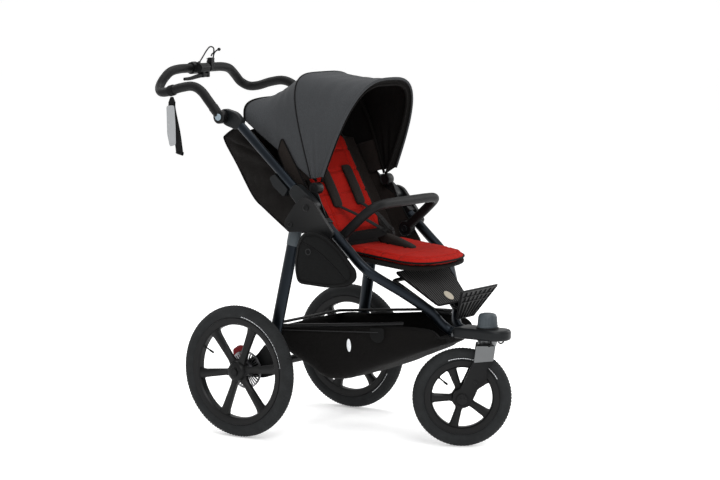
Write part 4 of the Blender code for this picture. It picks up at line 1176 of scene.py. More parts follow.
def hand_brake():
    """Clamp, perch and blade, the cable's loop to its stop, and the short parking stick."""
    bm = bmesh.new()
    ring = [
        (0.0149, -0.016),
        (0.0180, -0.016),
        (0.0190, -0.015),
        (0.0190, 0.015),
        (0.0180, 0.016),
        (0.0149, 0.016),
    ]
    revolve(bm, ring, 40, "X", (-0.034, 0.374, 1.095))
    perch = rounded(
        ((0.3575, 1.082), (0.3580, 1.106), (0.336, 1.110), (0.327, 1.100), (0.331, 1.0840)), 0.004
    )
    plate(bm, perch, -0.050, -0.006)
    sweep(
        bm, [(-0.052, 0.345, 1.1105), (-0.045, 0.345, 1.1115), (-0.040, 0.3465, 1.1140)], 0.0090, 0.0090, 20
    )
    sweep(bm, [(-0.044, 0.375, 1.112), (-0.024, 0.375, 1.112)], 0.007, 0.007, 12)
    bracket = rounded(
        ((0.3330, 1.066), (0.3330, 1.104), (0.3600, 1.104), (0.3600, 1.088), (0.3500, 1.066)), 0.005
    )
    for x in (-0.006, -0.030):
        plate(bm, bracket, x - 0.0070, x + 0.0020)
    dress(
        eased(finish_mesh(bm, "brake_perch", 35), 0.0010),
        "plastic_dark",
        "handle",
        "plastic_dark",
        "brake_clamp",
    )
    blade = smooth_route(((-0.008, 0.341, 1.0750), (-0.030, 0.341, 1.0740), (-0.060, 0.342, 1.0700),
                          (-0.090, 0.344, 1.0650), (-0.118, 0.346, 1.0640)), 8)
    bm = sweep(bmesh.new(), blade, 0.0100, 0.0120, 20, across=(0, 1, 0), taper=lambda t: 1.45 - 0.65 * t)
    dress(finish_mesh(bm, "brake_blade", 50), "plastic_dark", "brake_lever", "plastic_dark", "brake_lever")
    cable = (
        (-0.0450, 0.3450, 1.1115),
        (-0.0380, 0.3470, 1.1150),
        (-0.0120, 0.3540, 1.1310),
        (0.0140, 0.3600, 1.1490),
        (0.0350, 0.3625, 1.1600),
        (0.0530, 0.3630, 1.1560),
        (0.0540, 0.3630, 1.1420),
        ( 0.0440, 0.3630, 1.1355 ),
        (0.0415, 0.3630, 1.1300),
    )
    obj = tube("brake_cable_loop", smooth_route(cable, 8), 0.0046, 0.0046, 14)
    dress(obj, "plastic_dark", "handle", "plastic_dark", "brake_cable")
    bm = bmesh.new()
    stub = rounded(((0.356, 1.084), (0.356, 1.126), (0.371, 1.126), (0.377, 1.108), (0.382, 1.084)), 0.004)
    plate(bm, stub, 0.034, 0.049)
    for step in range(6):
        z = 1.098 + 0.005 * step
        sweep(bm, [(0.0325, 0.366, z), (0.0505, 0.366, z)], 0.022, 0.0026, 12, across=(0, 1, 0))
    dress(eased(finish_mesh(bm, "cable_holder", 35), 0.0008), "plastic_dark", "handle", "plastic_dark")
    bm = bmesh.new()
    sweep(
        bm,
        smooth_route(
            ((0.046, 0.360, 1.118), (0.052, 0.360, 1.138), (0.064, 0.360, 1.147), (0.075, 0.360, 1.150)), 5
        ),
        0.0048,
        0.0048,
        14,
    )
    revolve(
        bm,
        [(0, -0.0055), (0.004, -0.0040), (0.0056, 0), (0.004, 0.0040), (0, 0.0055)],
        20,
        "X",
        (0.078, 0.360, 1.1508),
    )
    dress(finish_mesh(bm, "parking_stick", 60), "plastic_dark", "handle", "plastic_dark")


def wrist_strap():
    """A loop of webbing that hangs from its band, with a reflective tag."""
    hang = ((0.3045, 0.9990), (0.3042, 0.980), (0.2960, 0.945), (0.2850, 0.900), (0.2770, 0.8520))
    down = [Vector((-0.2330, y, z)) for y, z in hang]
    up = [Vector((-0.2278, y, z)) for y, z in reversed(hang)]
    turn = [
        Vector((-0.2345, 0.2755, 0.8440)),
        Vector((-0.2304, 0.2750, 0.8385)),
        Vector((-0.2263, 0.2755, 0.8440)),
    ]
    route = smooth_route([*down, *turn, *up], 6)
    bm = ribbon(bmesh.new(), route, (0, 1, 0.25), 0.023, 0.0018)
    neck = ((0.3015, 1.0150), (0.3075, 1.0150), (0.3160, 0.998), (0.2930, 0.998))
    plate(bm, neck, -0.2340, -0.2266)
    dress(finish_mesh(bm, "strap_webbing", 50), "webbing", "wrist_strap", "webbing", "wrist_strap")
    tag = (
        (0.2900, 0.990), (0.3200, 0.988), (0.3180, 0.900), (0.3080, 0.862), (0.2840, 0.868), (0.2850, 0.930)
    )
    bm = plate(bmesh.new(), rounded(tag, 0.008), -0.2390, -0.2376)
    dress(eased(finish_mesh(bm, "strap_tag", 35), 0.0004), "tag", "wrist_strap", "webbing")


# Front fork and head


def head_and_fork():
    half = 0.044
    nose = STEER_Y - 0.030
    outline = [(-half, -0.600), (half, -0.600)]
    for step in range(37):
        angle = math.pi * step / 36
        outline.append((half * math.cos(angle), nose - half * math.sin(angle)))
    bm = slab(bmesh.new(), outline, lambda y: 0.3213, lambda y: 0.3530)
    obj = eased(finish_mesh(bm, "head_casting", 35), 0.0085, 5)
    dress(obj, "plastic_grey", "frame", "plastic_grey", "front_head")
    bm = revolve(
        bmesh.new(),
        [(0, 0.350), (0.0345, 0.350), (0.0335, 0.3560), (0.0320, 0.3568), (0, 0.3568)],
        64,
        "Z",
        (0, STEER_Y, 0),
    )
    for sign in (-1, 1):
        sweep(
            bm,
            smooth_route(
                (
                    (sign * 0.034, -0.728, 0.322),
                    (sign * 0.035, -0.730, 0.312),
                    (sign * 0.034, -0.722, 0.306),
                    (sign * 0.031, -0.714, 0.309),
                ),
                4,
            ),
            0.005,
            0.005,
            10,
        )
    dress(finish_mesh(bm, "head_trim", 40), "plastic_dark", "frame", "plastic_grey")
    knob = [
        (0, 0.3570),
        (0.0300, 0.3570),
        (0.0306, 0.3580),
        (0.0306, 0.3630),
        (0.0296, 0.3645),
        (0.0300, 0.3665),
        (0.0280, 0.3870),
        (0.0262, 0.3925),
        (0.0225, 0.3965),
        (0.0160, 0.3985),
        (0, 0.3990),
    ]
    flutes = 18
    shift = lambda angle, index: -0.0008 * max(0.0, math.cos(angle * flutes)) if 5 <= index <= 6 else 0.0
    bm = revolve(bmesh.new(), knob, 144, "Z", (0, STEER_Y, 0), shift)
    dress(finish_mesh(bm, "steering_cap", 40), "cap_grey", "steering_knob", "plastic_grey", "steering_knob")
    fork()


def fork():
    hub = Vector((0, STEER_Y + FORK_TRAIL, FRONT_RADIUS))
    edge = (
        (-0.021, 0.3060),
        (-0.0195, 0.288),
        (-0.013, 0.262),
        (0.002, 0.232),
        (0.004, 0.204),
        (0.024, 0.184),
        (0.040, 0.150),
        (0.052, 0.129),
        (0.074, 0.121),
        (0.096, 0.132),
        (0.102, 0.150),
        (0.094, 0.170),
        (0.078, 0.182),
        (0.047, 0.2485),
        (0.031, 0.288),
        (0.030, 0.3060),
    )
    knots = [Vector((0, STEER_Y + y, z)) for y, z in edge]
    blade = [p.yz for p in smooth_route(knots, 4)]
    bm = bmesh.new()
    for sign in (-1, 1):
        plate(bm, blade, sign * 0.0300, sign * 0.0420, 0.0012)
        disc(bm, 0.0160, sign * 0.0400, sign * 0.0460, hub, 0.0012)
    crown = ((-0.020, 0.2950), (0.029, 0.2950), (0.029, 0.3052), (-0.020, 0.3052))
    plate(bm, [(STEER_Y + y, z) for y, z in crown], -0.0410, 0.0410)
    obj = eased(finish_mesh(bm, "fork_blades", 35), 0.0016)
    turn_with_fork(obj)
    dress(obj, "plastic_dark", "fork", "plastic_dark", "fork")
    bm = revolve(
        bmesh.new(),
        [(0, 0.3000), (0.0255, 0.3000), (0.0262, 0.3010), (0.0308, 0.3195), (0.0300, 0.3207), (0, 0.3207)],
        64,
        "Z",
        (0, STEER_Y, 0),
    )
    cover = rounded(
        [
            (STEER_Y + y, z) for y, z in (
                (-0.0235, 0.3062), (-0.0170, 0.2620), (0.0400, 0.2570), (0.0340, 0.3062)
            )
        ],
        0.004,
    )
    for sign in (-1, 1):
        plate(bm, cover, sign * 0.0412, sign * 0.0434)
    obj = finish_mesh(bm, "fork_neck", 40)
    turn_with_fork(obj)
    dress(obj, "neck", "fork", "steel")
    bm = bmesh.new()
    for sign in (-1, 1):
        profile = [
            (0, sign * 0.0462),
            (0.0090, sign * 0.0462),
            (0.0090, sign * 0.0478),
            (0.0070, sign * 0.0490),
            (0, sign * 0.0490),
        ]
        revolve(bm, profile, 32, "X", hub)
        place = Vector((0, STEER_Y + 0.035, 0.198))
        revolve(
            bm,
            [(0, sign * 0.0405), (0.0055, sign * 0.0405), (0.0050, sign * 0.0432), (0, sign * 0.0438)],
            24,
            "X",
            place,
        )
    revolve(bm, [(0, -0.047), (0.0058, -0.047), (0.0058, 0.047), (0, 0.047)], 24, "X", hub)
    obj = finish_mesh(bm, "fork_bolts", 40)
    turn_with_fork(obj)
    dress(obj, "plastic_dark", "fork", "steel", "front_axle")


def turn_with_fork(obj):
    pivot = Matrix.Translation((0, STEER_Y + OUTLINE_MIDDLE, 0))
    obj.data.transform(pivot @ Matrix.Rotation(FORK_TURN, 4, "Z") @ pivot.inverted())


def rear_axle():
    end = WHEEL_X + 0.0305
    section = [
        (0, -end),
        (0.0095, -end),
        (0.0100, -end + 0.001),
        (0.0100, -end + 0.006),
        (0.0060, -end + 0.0065),
        (0.0060, -0.2460),
        (0.0130, -0.2400),
    ]
    section += [(r, -x) for r, x in reversed(section)]
    bm = revolve(bmesh.new(), section, 40, "X", (0, 0, REAR_RADIUS))
    outline = (
        (0.024, 0.186),
        (0.020, 0.222),
        (-0.030, 0.244),
        (-0.064, 0.283),
        (-0.112, 0.283),
        (-0.106, 0.196),
        (-0.060, 0.178),
        (0.010, 0.176),
    )
    for _, sign in SIDES:
        plate(bm, rounded(outline, 0.012), sign * 0.2240, sign * 0.2500, 0.0014)
    dress(
        eased(finish_mesh(bm, "axle_beam", 35), 0.0016),
        "plastic_dark",
        "rear_frame",
        "plastic_dark",
        "rear_axle",
    )
    caliper = (
        (-0.006, 0.2465), (-0.004, 0.268), (0.030, 0.272), (0.052, 0.256), (0.046, 0.222), (0.028, 0.2225)
    )
    for side, sign in SIDES:
        bm = plate(bmesh.new(), rounded(caliper, 0.006), sign * 0.2504, sign * 0.2600, 0.0010)
        for y, z in ((0.006, 0.258), (0.034, 0.240)):
            disc(bm, 0.0045, sign * 0.2590, sign * 0.2605, (0, y, z), 0.0005, 20)
        obj = eased(finish_mesh(bm, f"caliper_{side}", 35), 0.0010)
        dress(obj, "red_plastic", "rear_frame", "red_plastic", f"brake_caliper_{side}")


# Seat


def seat_top(y):
    return SEAT_Z + SEAT_SLOPE * (y - SEAT_Y)


def seat_outline(half, back, shoulder, front, steps=24):
    outline = [(-half, back), (half, back)]
    for step in range(steps + 1):
        angle = math.pi * step / steps
        x = math.copysign(abs(math.cos(angle)) ** 0.8, math.cos(angle)) * half
        outline.append((x, shoulder + (front - shoulder) * math.sin(angle) ** 0.8))
    return outline


def seat():
    outline = spread_out(seat_outline(0.154, -0.289, -0.468, -0.562), 0.010)
    low = 0.011
    pad = pillow(
        "cushion_seat", outline, lambda x, y, w: Vector((x, y, seat_top(y) - low + w)), 0.0090, 0.0090, 4.0
    )
    puffed(pad, 0.005, 0.006)
    channels = []
    for y in (-0.352, -0.415, -0.478):
        channels.append(on_surface(pad, dense([(-0.150, y, 0.58), (0.150, y, 0.58)], 0.004), (0, 0, -1)))
    edge = [
        (x * 0.88, -0.42 + (y + 0.42) * 0.88, 0.58) for x, y in seat_outline(0.154, -0.289, -0.468, -0.562)
    ]
    channels.append(on_surface(pad, dense([*edge[1:], edge[0]], 0.004), (0, 0, -1)))
    carve(pad, channels, 0.0042, 0.0030, 0.0006)
    dress(pad, "red_fabric", "frame", "red_fabric", "seat_pad")
    rows = [on_surface(pad, dense(line, 0.004), (0, 0, -1), 0.0003) for line in channels]
    dress(stitches("cushion_seat_stitching", rows), "red_thread", "frame", "red_fabric")
    rim_line = [
        Vector((x, y, seat_top(y) - 0.012)) for x, y in spread_out(
            seat_outline(0.1545, -0.2885, -0.4683, -0.5625), 0.008
        )
    ]
    obj = finish_mesh(
        sweep(bmesh.new(), rim_line, 0.0055, 0.0055, 10, loop=True), "cushion_seat_piping", 60
    )
    dress(obj, "piping", "frame", "red_fabric")
    base = spread_out(seat_outline(0.166, -0.264, -0.467, -0.556), 0.010)
    obj = pillow(
        "seat_sling", base, lambda x, y, w: Vector((x, y, seat_top(y) - 0.0290 + w)), 0.0070, 0.0070, 7.0
    )
    dress(wrinkled(obj, 0.05, 0.0012), "dark_fabric", "frame", "dark_fabric", "seat_base")
    seat_sides()
    seat_wings()
    seat_fans()
    seat_crease()
    back_cover()
    harness()


def seat_sides():
    """Cloth panels between the seat, the backrest and the tubes."""
    outline = rounded(((-0.335, 0.566), (-0.250, 0.560), (-0.205, 0.600), (-0.075, 0.860), (-0.090, 0.905),
                       (-0.195, 0.735), (-0.232, 0.715)), 0.015)
    for side, sign in SIDES:
        flat = spread_out(outline, 0.006)
        obj = pillow(
            f"side_panel_{side}",
            flat,
            lambda y,
            z,
            w,
            s=sign: Vector((s * 0.1962 + w, y, z)),
            0.0016,
            0.0016,
            8.0,
            24,
        )
        wrinkled(obj, 0.045, 0.0022, 3.0 * sign, (1, 1, 1))
        dress(obj, "brown_fabric", "frame", "dark_fabric", f"seat_side_{side}")
        line = [Vector((sign * 0.1962, y, z)) for y, z in flat]
        obj = finish_mesh(
            sweep(bmesh.new(), line, 0.005, 0.005, 8, loop=True), f"side_panel_piping_{side}", 60
        )
        dress(obj, "piping", "frame", "dark_fabric")


def seat_wings():
    """Cloth that wraps from each edge of the backrest out to the side panel."""
    up, out, foot = back_frame()
    for side, sign in SIDES:
        inner = [
            foot + up * v + out * 0.011 + Vector((sign * 0.126, 0, 0)) for v in (
                0.004, 0.085, 0.17, 0.255, 0.338
            )
        ]
        outer = [
            foot + up * v + out * 0.004 + Vector((sign * 0.1930, 0, 0)) for v in (
                0.000, 0.08, 0.16, 0.24, 0.315
            )
        ]
        rows = []
        for a, b in zip(smooth_route(inner, 8), smooth_route(outer, 8)):
            row = [a.lerp(b, k / 16) - out * 0.012 * math.sin(math.pi * k / 16) for k in range(17)]
            rows.append(row)
        obj = cloth_grid(f"seat_wing_{side}", rows, 0.0020, 0.0)
        wrinkled(obj, 0.04, 0.0030, 7.0 * sign, (1.6, 0.7, 0.5))
        dress(obj, "brown_fabric", None, "dark_fabric")
        world((sign * 0.193, -0.18, 0.75))
        world((sign * 0.130, -0.18, 0.75))
        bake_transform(obj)


def seat_fans():
    """Cloth between each side of the hood's rear bow and the edge of the seat's wing."""
    up, out, foot = back_frame()
    for side, sign in SIDES:
        bow = smooth_route(
            [Vector((sign * 0.1845, y, z)) for y, z in ((-0.196, 0.786), (-0.182, 0.830), (-0.168, 0.880))],
            8,
        )
        wing = smooth_route(
            [foot + up * v + out * 0.004 + Vector((sign * 0.1925, 0, 0)) for v in (0.190, 0.240, 0.290)], 8
        )
        rows = []
        for index, (a, b) in enumerate(zip(bow, wing)):
            fold = 0.001 * math.sin(index * 0.9)
            bulge = Vector((sign * (0.004 + fold), 0, 0))
            rows.append([a.lerp(b, k / 10) - bulge * math.sin(math.pi * k / 10) for k in range(11)])
        obj = cloth_grid(f"seat_fan_{side}", rows, 0.0018, 0.0)
        dress(obj, "brown_fabric", "frame", "dark_fabric")


def seat_crease():
    """Cloth that closes the gap between the seat's back edge and the backrest's foot."""
    up, out, foot = back_frame()
    rows = []
    for step in range(21):
        shift = Vector((0.160 * (step / 10 - 1), 0, 0))
        low = Vector((0, -0.292, seat_top(-0.292) - 0.018)) + shift
        high = foot + up * 0.030 - out * 0.002 + shift
        rows.append(
            [low.lerp(high, k / 6) - Vector((0, 0, 0.006 * math.sin(math.pi * k / 6))) for k in range(7)]
        )
    obj = cloth_grid("seat_crease", rows, 0.0018, 0.0)
    dress(wrinkled(obj, 0.03, 0.0015, 2.0), "dark_fabric", None, "dark_fabric")
    world(low - shift)
    world(high - shift)
    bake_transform(obj)


def back_cover():
    """The cloth back: one sheet that hangs behind the backrest, turned in along both sides."""
    path = (
        (-0.104, 0.606),
        (-0.016, 0.668),
        (0.030, 0.706),
        (0.090, 0.799),
        (0.136, 0.868),
        (0.130, 0.888),
        (0.066, 0.926),
    )
    spine = smooth_route([Vector((0, y, z)) for y, z in path], 10)
    rows = []
    across = 48
    for index, place in enumerate(spine):
        along = spine[min(index + 1, len(spine) - 1)] - spine[max(index - 1, 0)]
        inward = Vector((0, -along.z, along.y)).normalized()
        row = []
        for k in range(across + 1):
            u = 2 * k / across - 1
            tuck = 0.020 * abs(u) ** 6
            slack = 0.004 * (1 - u * u) * math.sin(math.pi * index / (len(spine) - 1))
            row.append(place + Vector((u * 0.186, 0, 0)) + inward * (tuck - slack + 0.004))
        rows.append(row)
    obj = cloth_grid("back_cloth", rows, 0.0026, 0.0)
    wrinkled(obj, 0.07, 0.0035, 1.0, (1, 1.5, 0.7))
    dress(obj, "dark_fabric", "frame", "dark_fabric", "back_cover")
    for side, sign in SIDES:
        edge = [p + Vector((sign * 0.186, 0, 0)) + Vector((0, -0.004, 0.016)) for p in spine]
        tube_line = []
        for index in range(len(edge)):
            along = FOLD_AXIS + ALONG_TUBE * (0.015 + 0.300 * index / (len(edge) - 1)) - ACROSS_TUBE * 0.012
            tube_line.append(along + Vector((sign * 0.2030, 0, 0)))
        rows = []
        for index, (a, b) in enumerate(zip(edge, tube_line)):
            fold = 0.004 * math.sin(index * 0.55)
            bulge = Vector((sign * (0.006 + fold), 0, 0))
            rows.append([a.lerp(b, k / 12) + bulge * math.sin(math.pi * k / 12) for k in range(13)])
        obj = cloth_grid(f"back_gusset_{side}", rows, 0.0020, 0.0)
        wrinkled(obj, 0.05, 0.0030, 9.0 * sign, (1, 1.4, 0.5))
        dress(obj, "dark_fabric", "frame", "dark_fabric")
        line = [p + Vector((sign * 0.001, 0, 0)) for p in edge]
        dress(tube(f"back_cloth_piping_{side}", line, 0.006, 0.006, 10), "piping", "frame", "dark_fabric")


def harness():
    """Shoulder pads on the backrest, straps down to the buckle, and the padded crotch strap."""
    low = seat_top(-0.440) + 0.0005
    high = seat_top(-0.322) + 0.0005
    outline = spread_out(
        rounded(
            (
                (-0.322, high),
                (-0.304, 0.606),
                (-0.336, 0.614),
                (-0.390, 0.598),
                (-0.438, 0.580),
                (-0.440, low),
            ),
            0.006,
        ),
        0.004,
    )
    obj = pillow("crotch_pad", outline, lambda y, z, w: Vector((w, y, z)), 0.019, 0.019, 5.0, 10)
    puffed(obj, 0.0045, 0.004)
    dress(obj, "brown_fabric", "frame", "dark_fabric", "crotch_buckle")
    up, out, foot = back_frame()
    for side, sign in SIDES:
        middle = foot + out * 0.0205 + up * 0.155
        outline = spread_out(
            rounded(((-0.023, -0.068), (0.023, -0.068), (0.023, 0.068), (-0.023, 0.068)), 0.012), 0.005
        )
        centre = middle + Vector((sign * 0.060, 0, 0))
        bow = lambda v: 0.003 * (1 - (v / 0.07) ** 2)
        place = lambda u, v, w, c=centre: c + Vector((u, 0, 0)) + up * v + out * (w + bow(v))
        obj = pillow(f"shoulder_pad_{side}", outline, place, 0.0052, 0.0052, 4.0, 10)
        puffed(obj, 0.0045, 0.003)
        dress(obj, "brown_fabric", "backrest", "dark_fabric", f"harness_pad_{side}")
        strap_to_buckle(side, sign, up, out, foot)


def back_frame():
    up = Vector((0, math.cos(BACK_LEAN), math.sin(BACK_LEAN)))
    return up, Vector((0, -up.z, up.y)), BACK_AXIS + up * 0.004


def strap_to_buckle(side, sign, up, out, foot):
    """Webbing from the shoulder pad to the buckle over the crotch pad, and the hip strap beside it."""
    pad = foot + out * 0.024 + up * 0.090 + Vector((sign * 0.060, 0, 0))
    buckle = Vector((sign * 0.016, -0.345, 0.6215))
    knots = [pad, pad.lerp(buckle, 0.45) + Vector((sign * 0.006, -0.004, 0.004)), buckle]
    route = smooth_route(knots, 10)
    bm = ribbon(bmesh.new(), route, (1, 0, 0), 0.022, 0.0018)
    obj = finish_mesh(bm, f"shoulder_strap_{side}", 50)
    dress(obj, "webbing", None, "webbing")
    world(buckle)
    world(pad)
    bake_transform(obj)
    hip = [
        Vector((sign * 0.148, -0.262, 0.604)),
        Vector((sign * 0.110, -0.290, 0.606)),
        Vector((sign * 0.055, -0.328, 0.612)),
        buckle,
    ]
    bm = ribbon(bmesh.new(), smooth_route(hip, 10), (0, 0.25, 1), 0.022, 0.0018)
    dress(finish_mesh(bm, f"hip_strap_{side}", 50), "webbing", "frame", "webbing")


def world(place):
    return tuple(Vector(place) + Vector((0, OUTLINE_MIDDLE, 0)))


def backrest():
    up, out, foot = back_frame()
    middle = foot + up * 0.175
    half, tall = 0.140, 0.170
    outline = spread_out(
        rounded(((-half, -tall), (half, -tall), (half * 0.97, tall), (-half * 0.97, tall)), 0.040, 10),
        0.010,
    )
    place = lambda u, v, w: middle + Vector((u, 0, 0)) + up * v + out * w
    pad = pillow("cushion_back", outline, place, 0.0110, 0.0110, 4.5)
    puffed(pad, 0.005, 0.006)
    channels = []
    for v in (-0.105, -0.040, 0.030, 0.100):
        line = [place(u, v, 0.0) for u in (-0.132, 0.132)]
        channels.append(on_surface(pad, dense(line, 0.004), -out))
    for u in (-0.098, 0.098):
        line = [place(u, v, 0.0) for v in (-0.160, 0.160)]
        channels.append(on_surface(pad, dense(line, 0.004), -out))
    carve(pad, channels, 0.0042, 0.0030, 0.0006)
    dress(pad, "red_fabric", "backrest", "red_fabric", "backrest")
    rows = [on_surface(pad, dense(line, 0.004), -out, 0.0003) for line in channels]
    dress(stitches("cushion_back_stitching", rows), "red_thread", "backrest", "red_fabric")
    edge = spread_out(
        rounded(((-0.141, -0.170), (0.141, -0.170), (0.137, 0.170), (-0.137, 0.170)), 0.041, 10), 0.008
    )
    line = [place(p.x, p.y, 0.002) for p in edge]
    obj = finish_mesh(sweep(bmesh.new(), line, 0.0060, 0.0060, 10, loop=True), "cushion_back_piping", 60)
    dress(obj, "piping", "backrest", "red_fabric")


def leg_rest():
    rail = [
        (0.040, -0.592, 0.3960),
        (0.040, -0.566, 0.3955),
        (0.052, -0.540, 0.4030),
        (0.080, -0.500, 0.4380),
        (0.116, -0.466, 0.4750),
        (0.126, -0.452, 0.4860),
        (0.108, -0.447, 0.4900),
    ]
    knots = rail + [(0, -0.447, 0.490)] + [(-x, y, z) for x, y, z in reversed(rail)]
    dress(
        tube("calf_rail", smooth_route(knots, 7), 0.0125, 0.0125, 20),
        "plastic_dark",
        "calf_rest",
        "plastic_dark",
        "calf_frame",
    )
    surface = lambda x, y, w: Vector((x, y, 0.5160 + (y + 0.462) * CALF_SLOPE)) + Vector(
        (0, -0.643, 0.766),
    ) * w
    outline = spread_out(
        rounded(((-0.137, -0.462), (0.137, -0.462), (0.083, -0.576), (-0.083, -0.576)), 0.010), 0.006
    )
    obj = pillow("calf_cloth", outline, surface, 0.0022, 0.0022, 8.0, 20)
    wrinkled(obj, 0.05, 0.0010, 5.0)
    dress(obj, "calf_fabric", "calf_rest", "calf_fabric", "calf_panel")
    line = [surface(p.x, p.y, 0.0) for p in outline]
    obj = finish_mesh(sweep(bmesh.new(), line, 0.0058, 0.0058, 10, loop=True), "calf_piping", 60)
    dress(obj, "piping", "calf_rest", "calf_fabric")
    middle = Vector((0.004, -0.5555))
    patch = [
        middle + Vector((math.cos(a), math.sin(a) * 0.78)) * 0.0175 for a in (
            2 * math.pi * k / 36 for k in range(36)
        )
    ]
    obj = pillow("calf_patch", patch, lambda x, y, w: surface(x, y, 0.0034 + w), 0.0012, 0.0012, 6.0, 8)
    dress(obj, "patch", "calf_rest", "calf_fabric")
    footrest()


def footrest():
    """A moulded tread plate with upright ribs and cross lines near its upper edge."""
    top = Vector((0, -0.664, 0.474))
    foot = Vector((0, -0.610, 0.380))
    out = Vector((0, -0.0085, -0.0045)).normalized()
    face = lambda u, t, w: foot.lerp(top, t) + Vector((u * (0.046 + 0.058 * t), 0, 0)) + out * w
    bm = bmesh.new()
    ring = rounded(((-1, 0), (1, 0), (1, 1), (-1, 1)), 0.06, 4)
    low = [bm.verts.new(face(p.x, p.y, 0.0030)) for p in ring]
    high = [bm.verts.new(face(p.x, p.y, 0.0066)) for p in ring]
    bm.faces.new(low)
    bm.faces.new(high)
    for k in range(len(ring)):
        after = (k + 1) % len(ring)
        bm.faces.new((low[k], low[after], high[after], high[k]))
    for level in (0.0026, 0.0078):
        for k in range(8):
            u = -0.93 + 1.86 * k / 7
            sweep(bm, [face(u, t, level) for t in (0.04, 0.5, 0.96)], 0.0034, 0.0044, 10)
        for t in (0.04, 0.60, 0.78, 0.96):
            sweep(bm, [face(u, t, level) for u in (-0.95, 0, 0.95)], 0.0044, 0.0030, 10, across=tuple(out))
    dress(eased(finish_mesh(bm, "foot_plate", 35), 0.0008), "rim", "footrest", "plastic_dark", "footrest")


def bumper():
    half = [
        (0.1785, -0.3040, 0.6220),
        (0.1785, -0.3400, 0.6540),
        (0.1770, -0.3720, 0.6820),
        (0.1690, -0.3970, 0.7030),
        (0.1480, -0.4100, 0.7130),
        (0.1100, -0.4130, 0.7160),
        (0.0550, -0.4135, 0.7165),
    ]
    route = smooth_route(mirrored(half, (0, -0.4135, 0.7165)), 8)
    dress(tube("bumper_grip", route, 0.029, 0.029, 28), "foam", "bumper_bar", "foam", "bumper_bar")
    for side, sign in SIDES:
        ring = [
            (0.0104, 0.1750),
            (0.0104, 0.1672),
            (0.0215, 0.1672),
            (0.0235, 0.1695),
            (0.0235, 0.1915),
            (0.0215, 0.1934),
            (0.002, 0.1934),
            (0.002, 0.1750),
        ]
        bm = revolve(bmesh.new(), [(r, sign * x) for r, x in ring], 48, "X", BUMPER_AXIS)
        dress(finish_mesh(bm, f"bumper_joint_{side}", 38), "plastic_dark", "bumper_bar", "plastic_dark")
        bm = disc(bmesh.new(), 0.0098, sign * 0.1630, sign * 0.1705, BUMPER_AXIS, 0.0015, 32, 0.0008)
        obj = finish_mesh(bm, f"bumper_push_{side}", 40)
        dress(obj, "plastic_grey", f"bumper_button_{side}", "plastic_grey", f"bumper_button_{side}")


# Hood


def arch(base, apex, half, square, steps=96, flare=0.0):
    """A hoop across the seat: a superellipse from the right base over the apex to the left base."""
    points = []
    for step in range(steps + 1):
        angle = math.pi * step / steps
        cosine = math.cos(angle)
        x = -math.copysign(abs(cosine) ** (2 / square), cosine) * half
        rise = abs(math.sin(angle)) ** (2 / square)
        x *= 1 + flare * (1 - rise)
        points.append(
            Vector((x, base[0] + (apex[0] - base[0]) * rise, base[1] + (apex[1] - base[1]) * rise)),
        )
    return points


def evened(line, count):
    """The line with its points an even distance apart."""
    reach = [0.0]
    for a, b in zip(line, line[1:]):
        reach.append(reach[-1] + (b - a).length)
    result = []
    index = 0
    for k in range(count + 1):
        want = reach[-1] * k / count
        while index < len(line) - 2 and reach[index + 1] < want:
            index += 1
        span = max(reach[index + 1] - reach[index], 1e-9)
        result.append(line[index].lerp(line[index + 1], (want - reach[index]) / span))
    return result


def bay(first, last, rows, sag, folds):
    """Cloth stretched between two hoops: it dips between them and creases near their feet."""
    count = len(first) - 1
    grid = []
    for r in range(rows + 1):
        share = r / rows
        row = []
        for k, (a, b) in enumerate(zip(first, last)):
            t = k / count
            point = a.lerp(b, share)
            crown = math.sin(math.pi * t)
            dip = 4 * share * (1 - share)
            inward = Vector((-point.x * 0.9, 0, -(point.z - 0.80) - 0.05)).normalized()
            foot = max(0.0, 1 - min(t, 1 - t) / 0.20)
            crease = math.sin(folds * math.pi * share + 1.1) * foot**1.2 * (1 - foot * 0.5)
            ripple = 0.0016 * math.sin(9 * math.pi * share + 5 * t) * math.sin(5 * math.pi * t)
            depth = sag * dip * (0.45 + 0.55 * crown) + 0.0050 * crease * dip**0.4 + ripple * dip
            row.append(point + inward * depth)
        grid.append(row)
    return grid


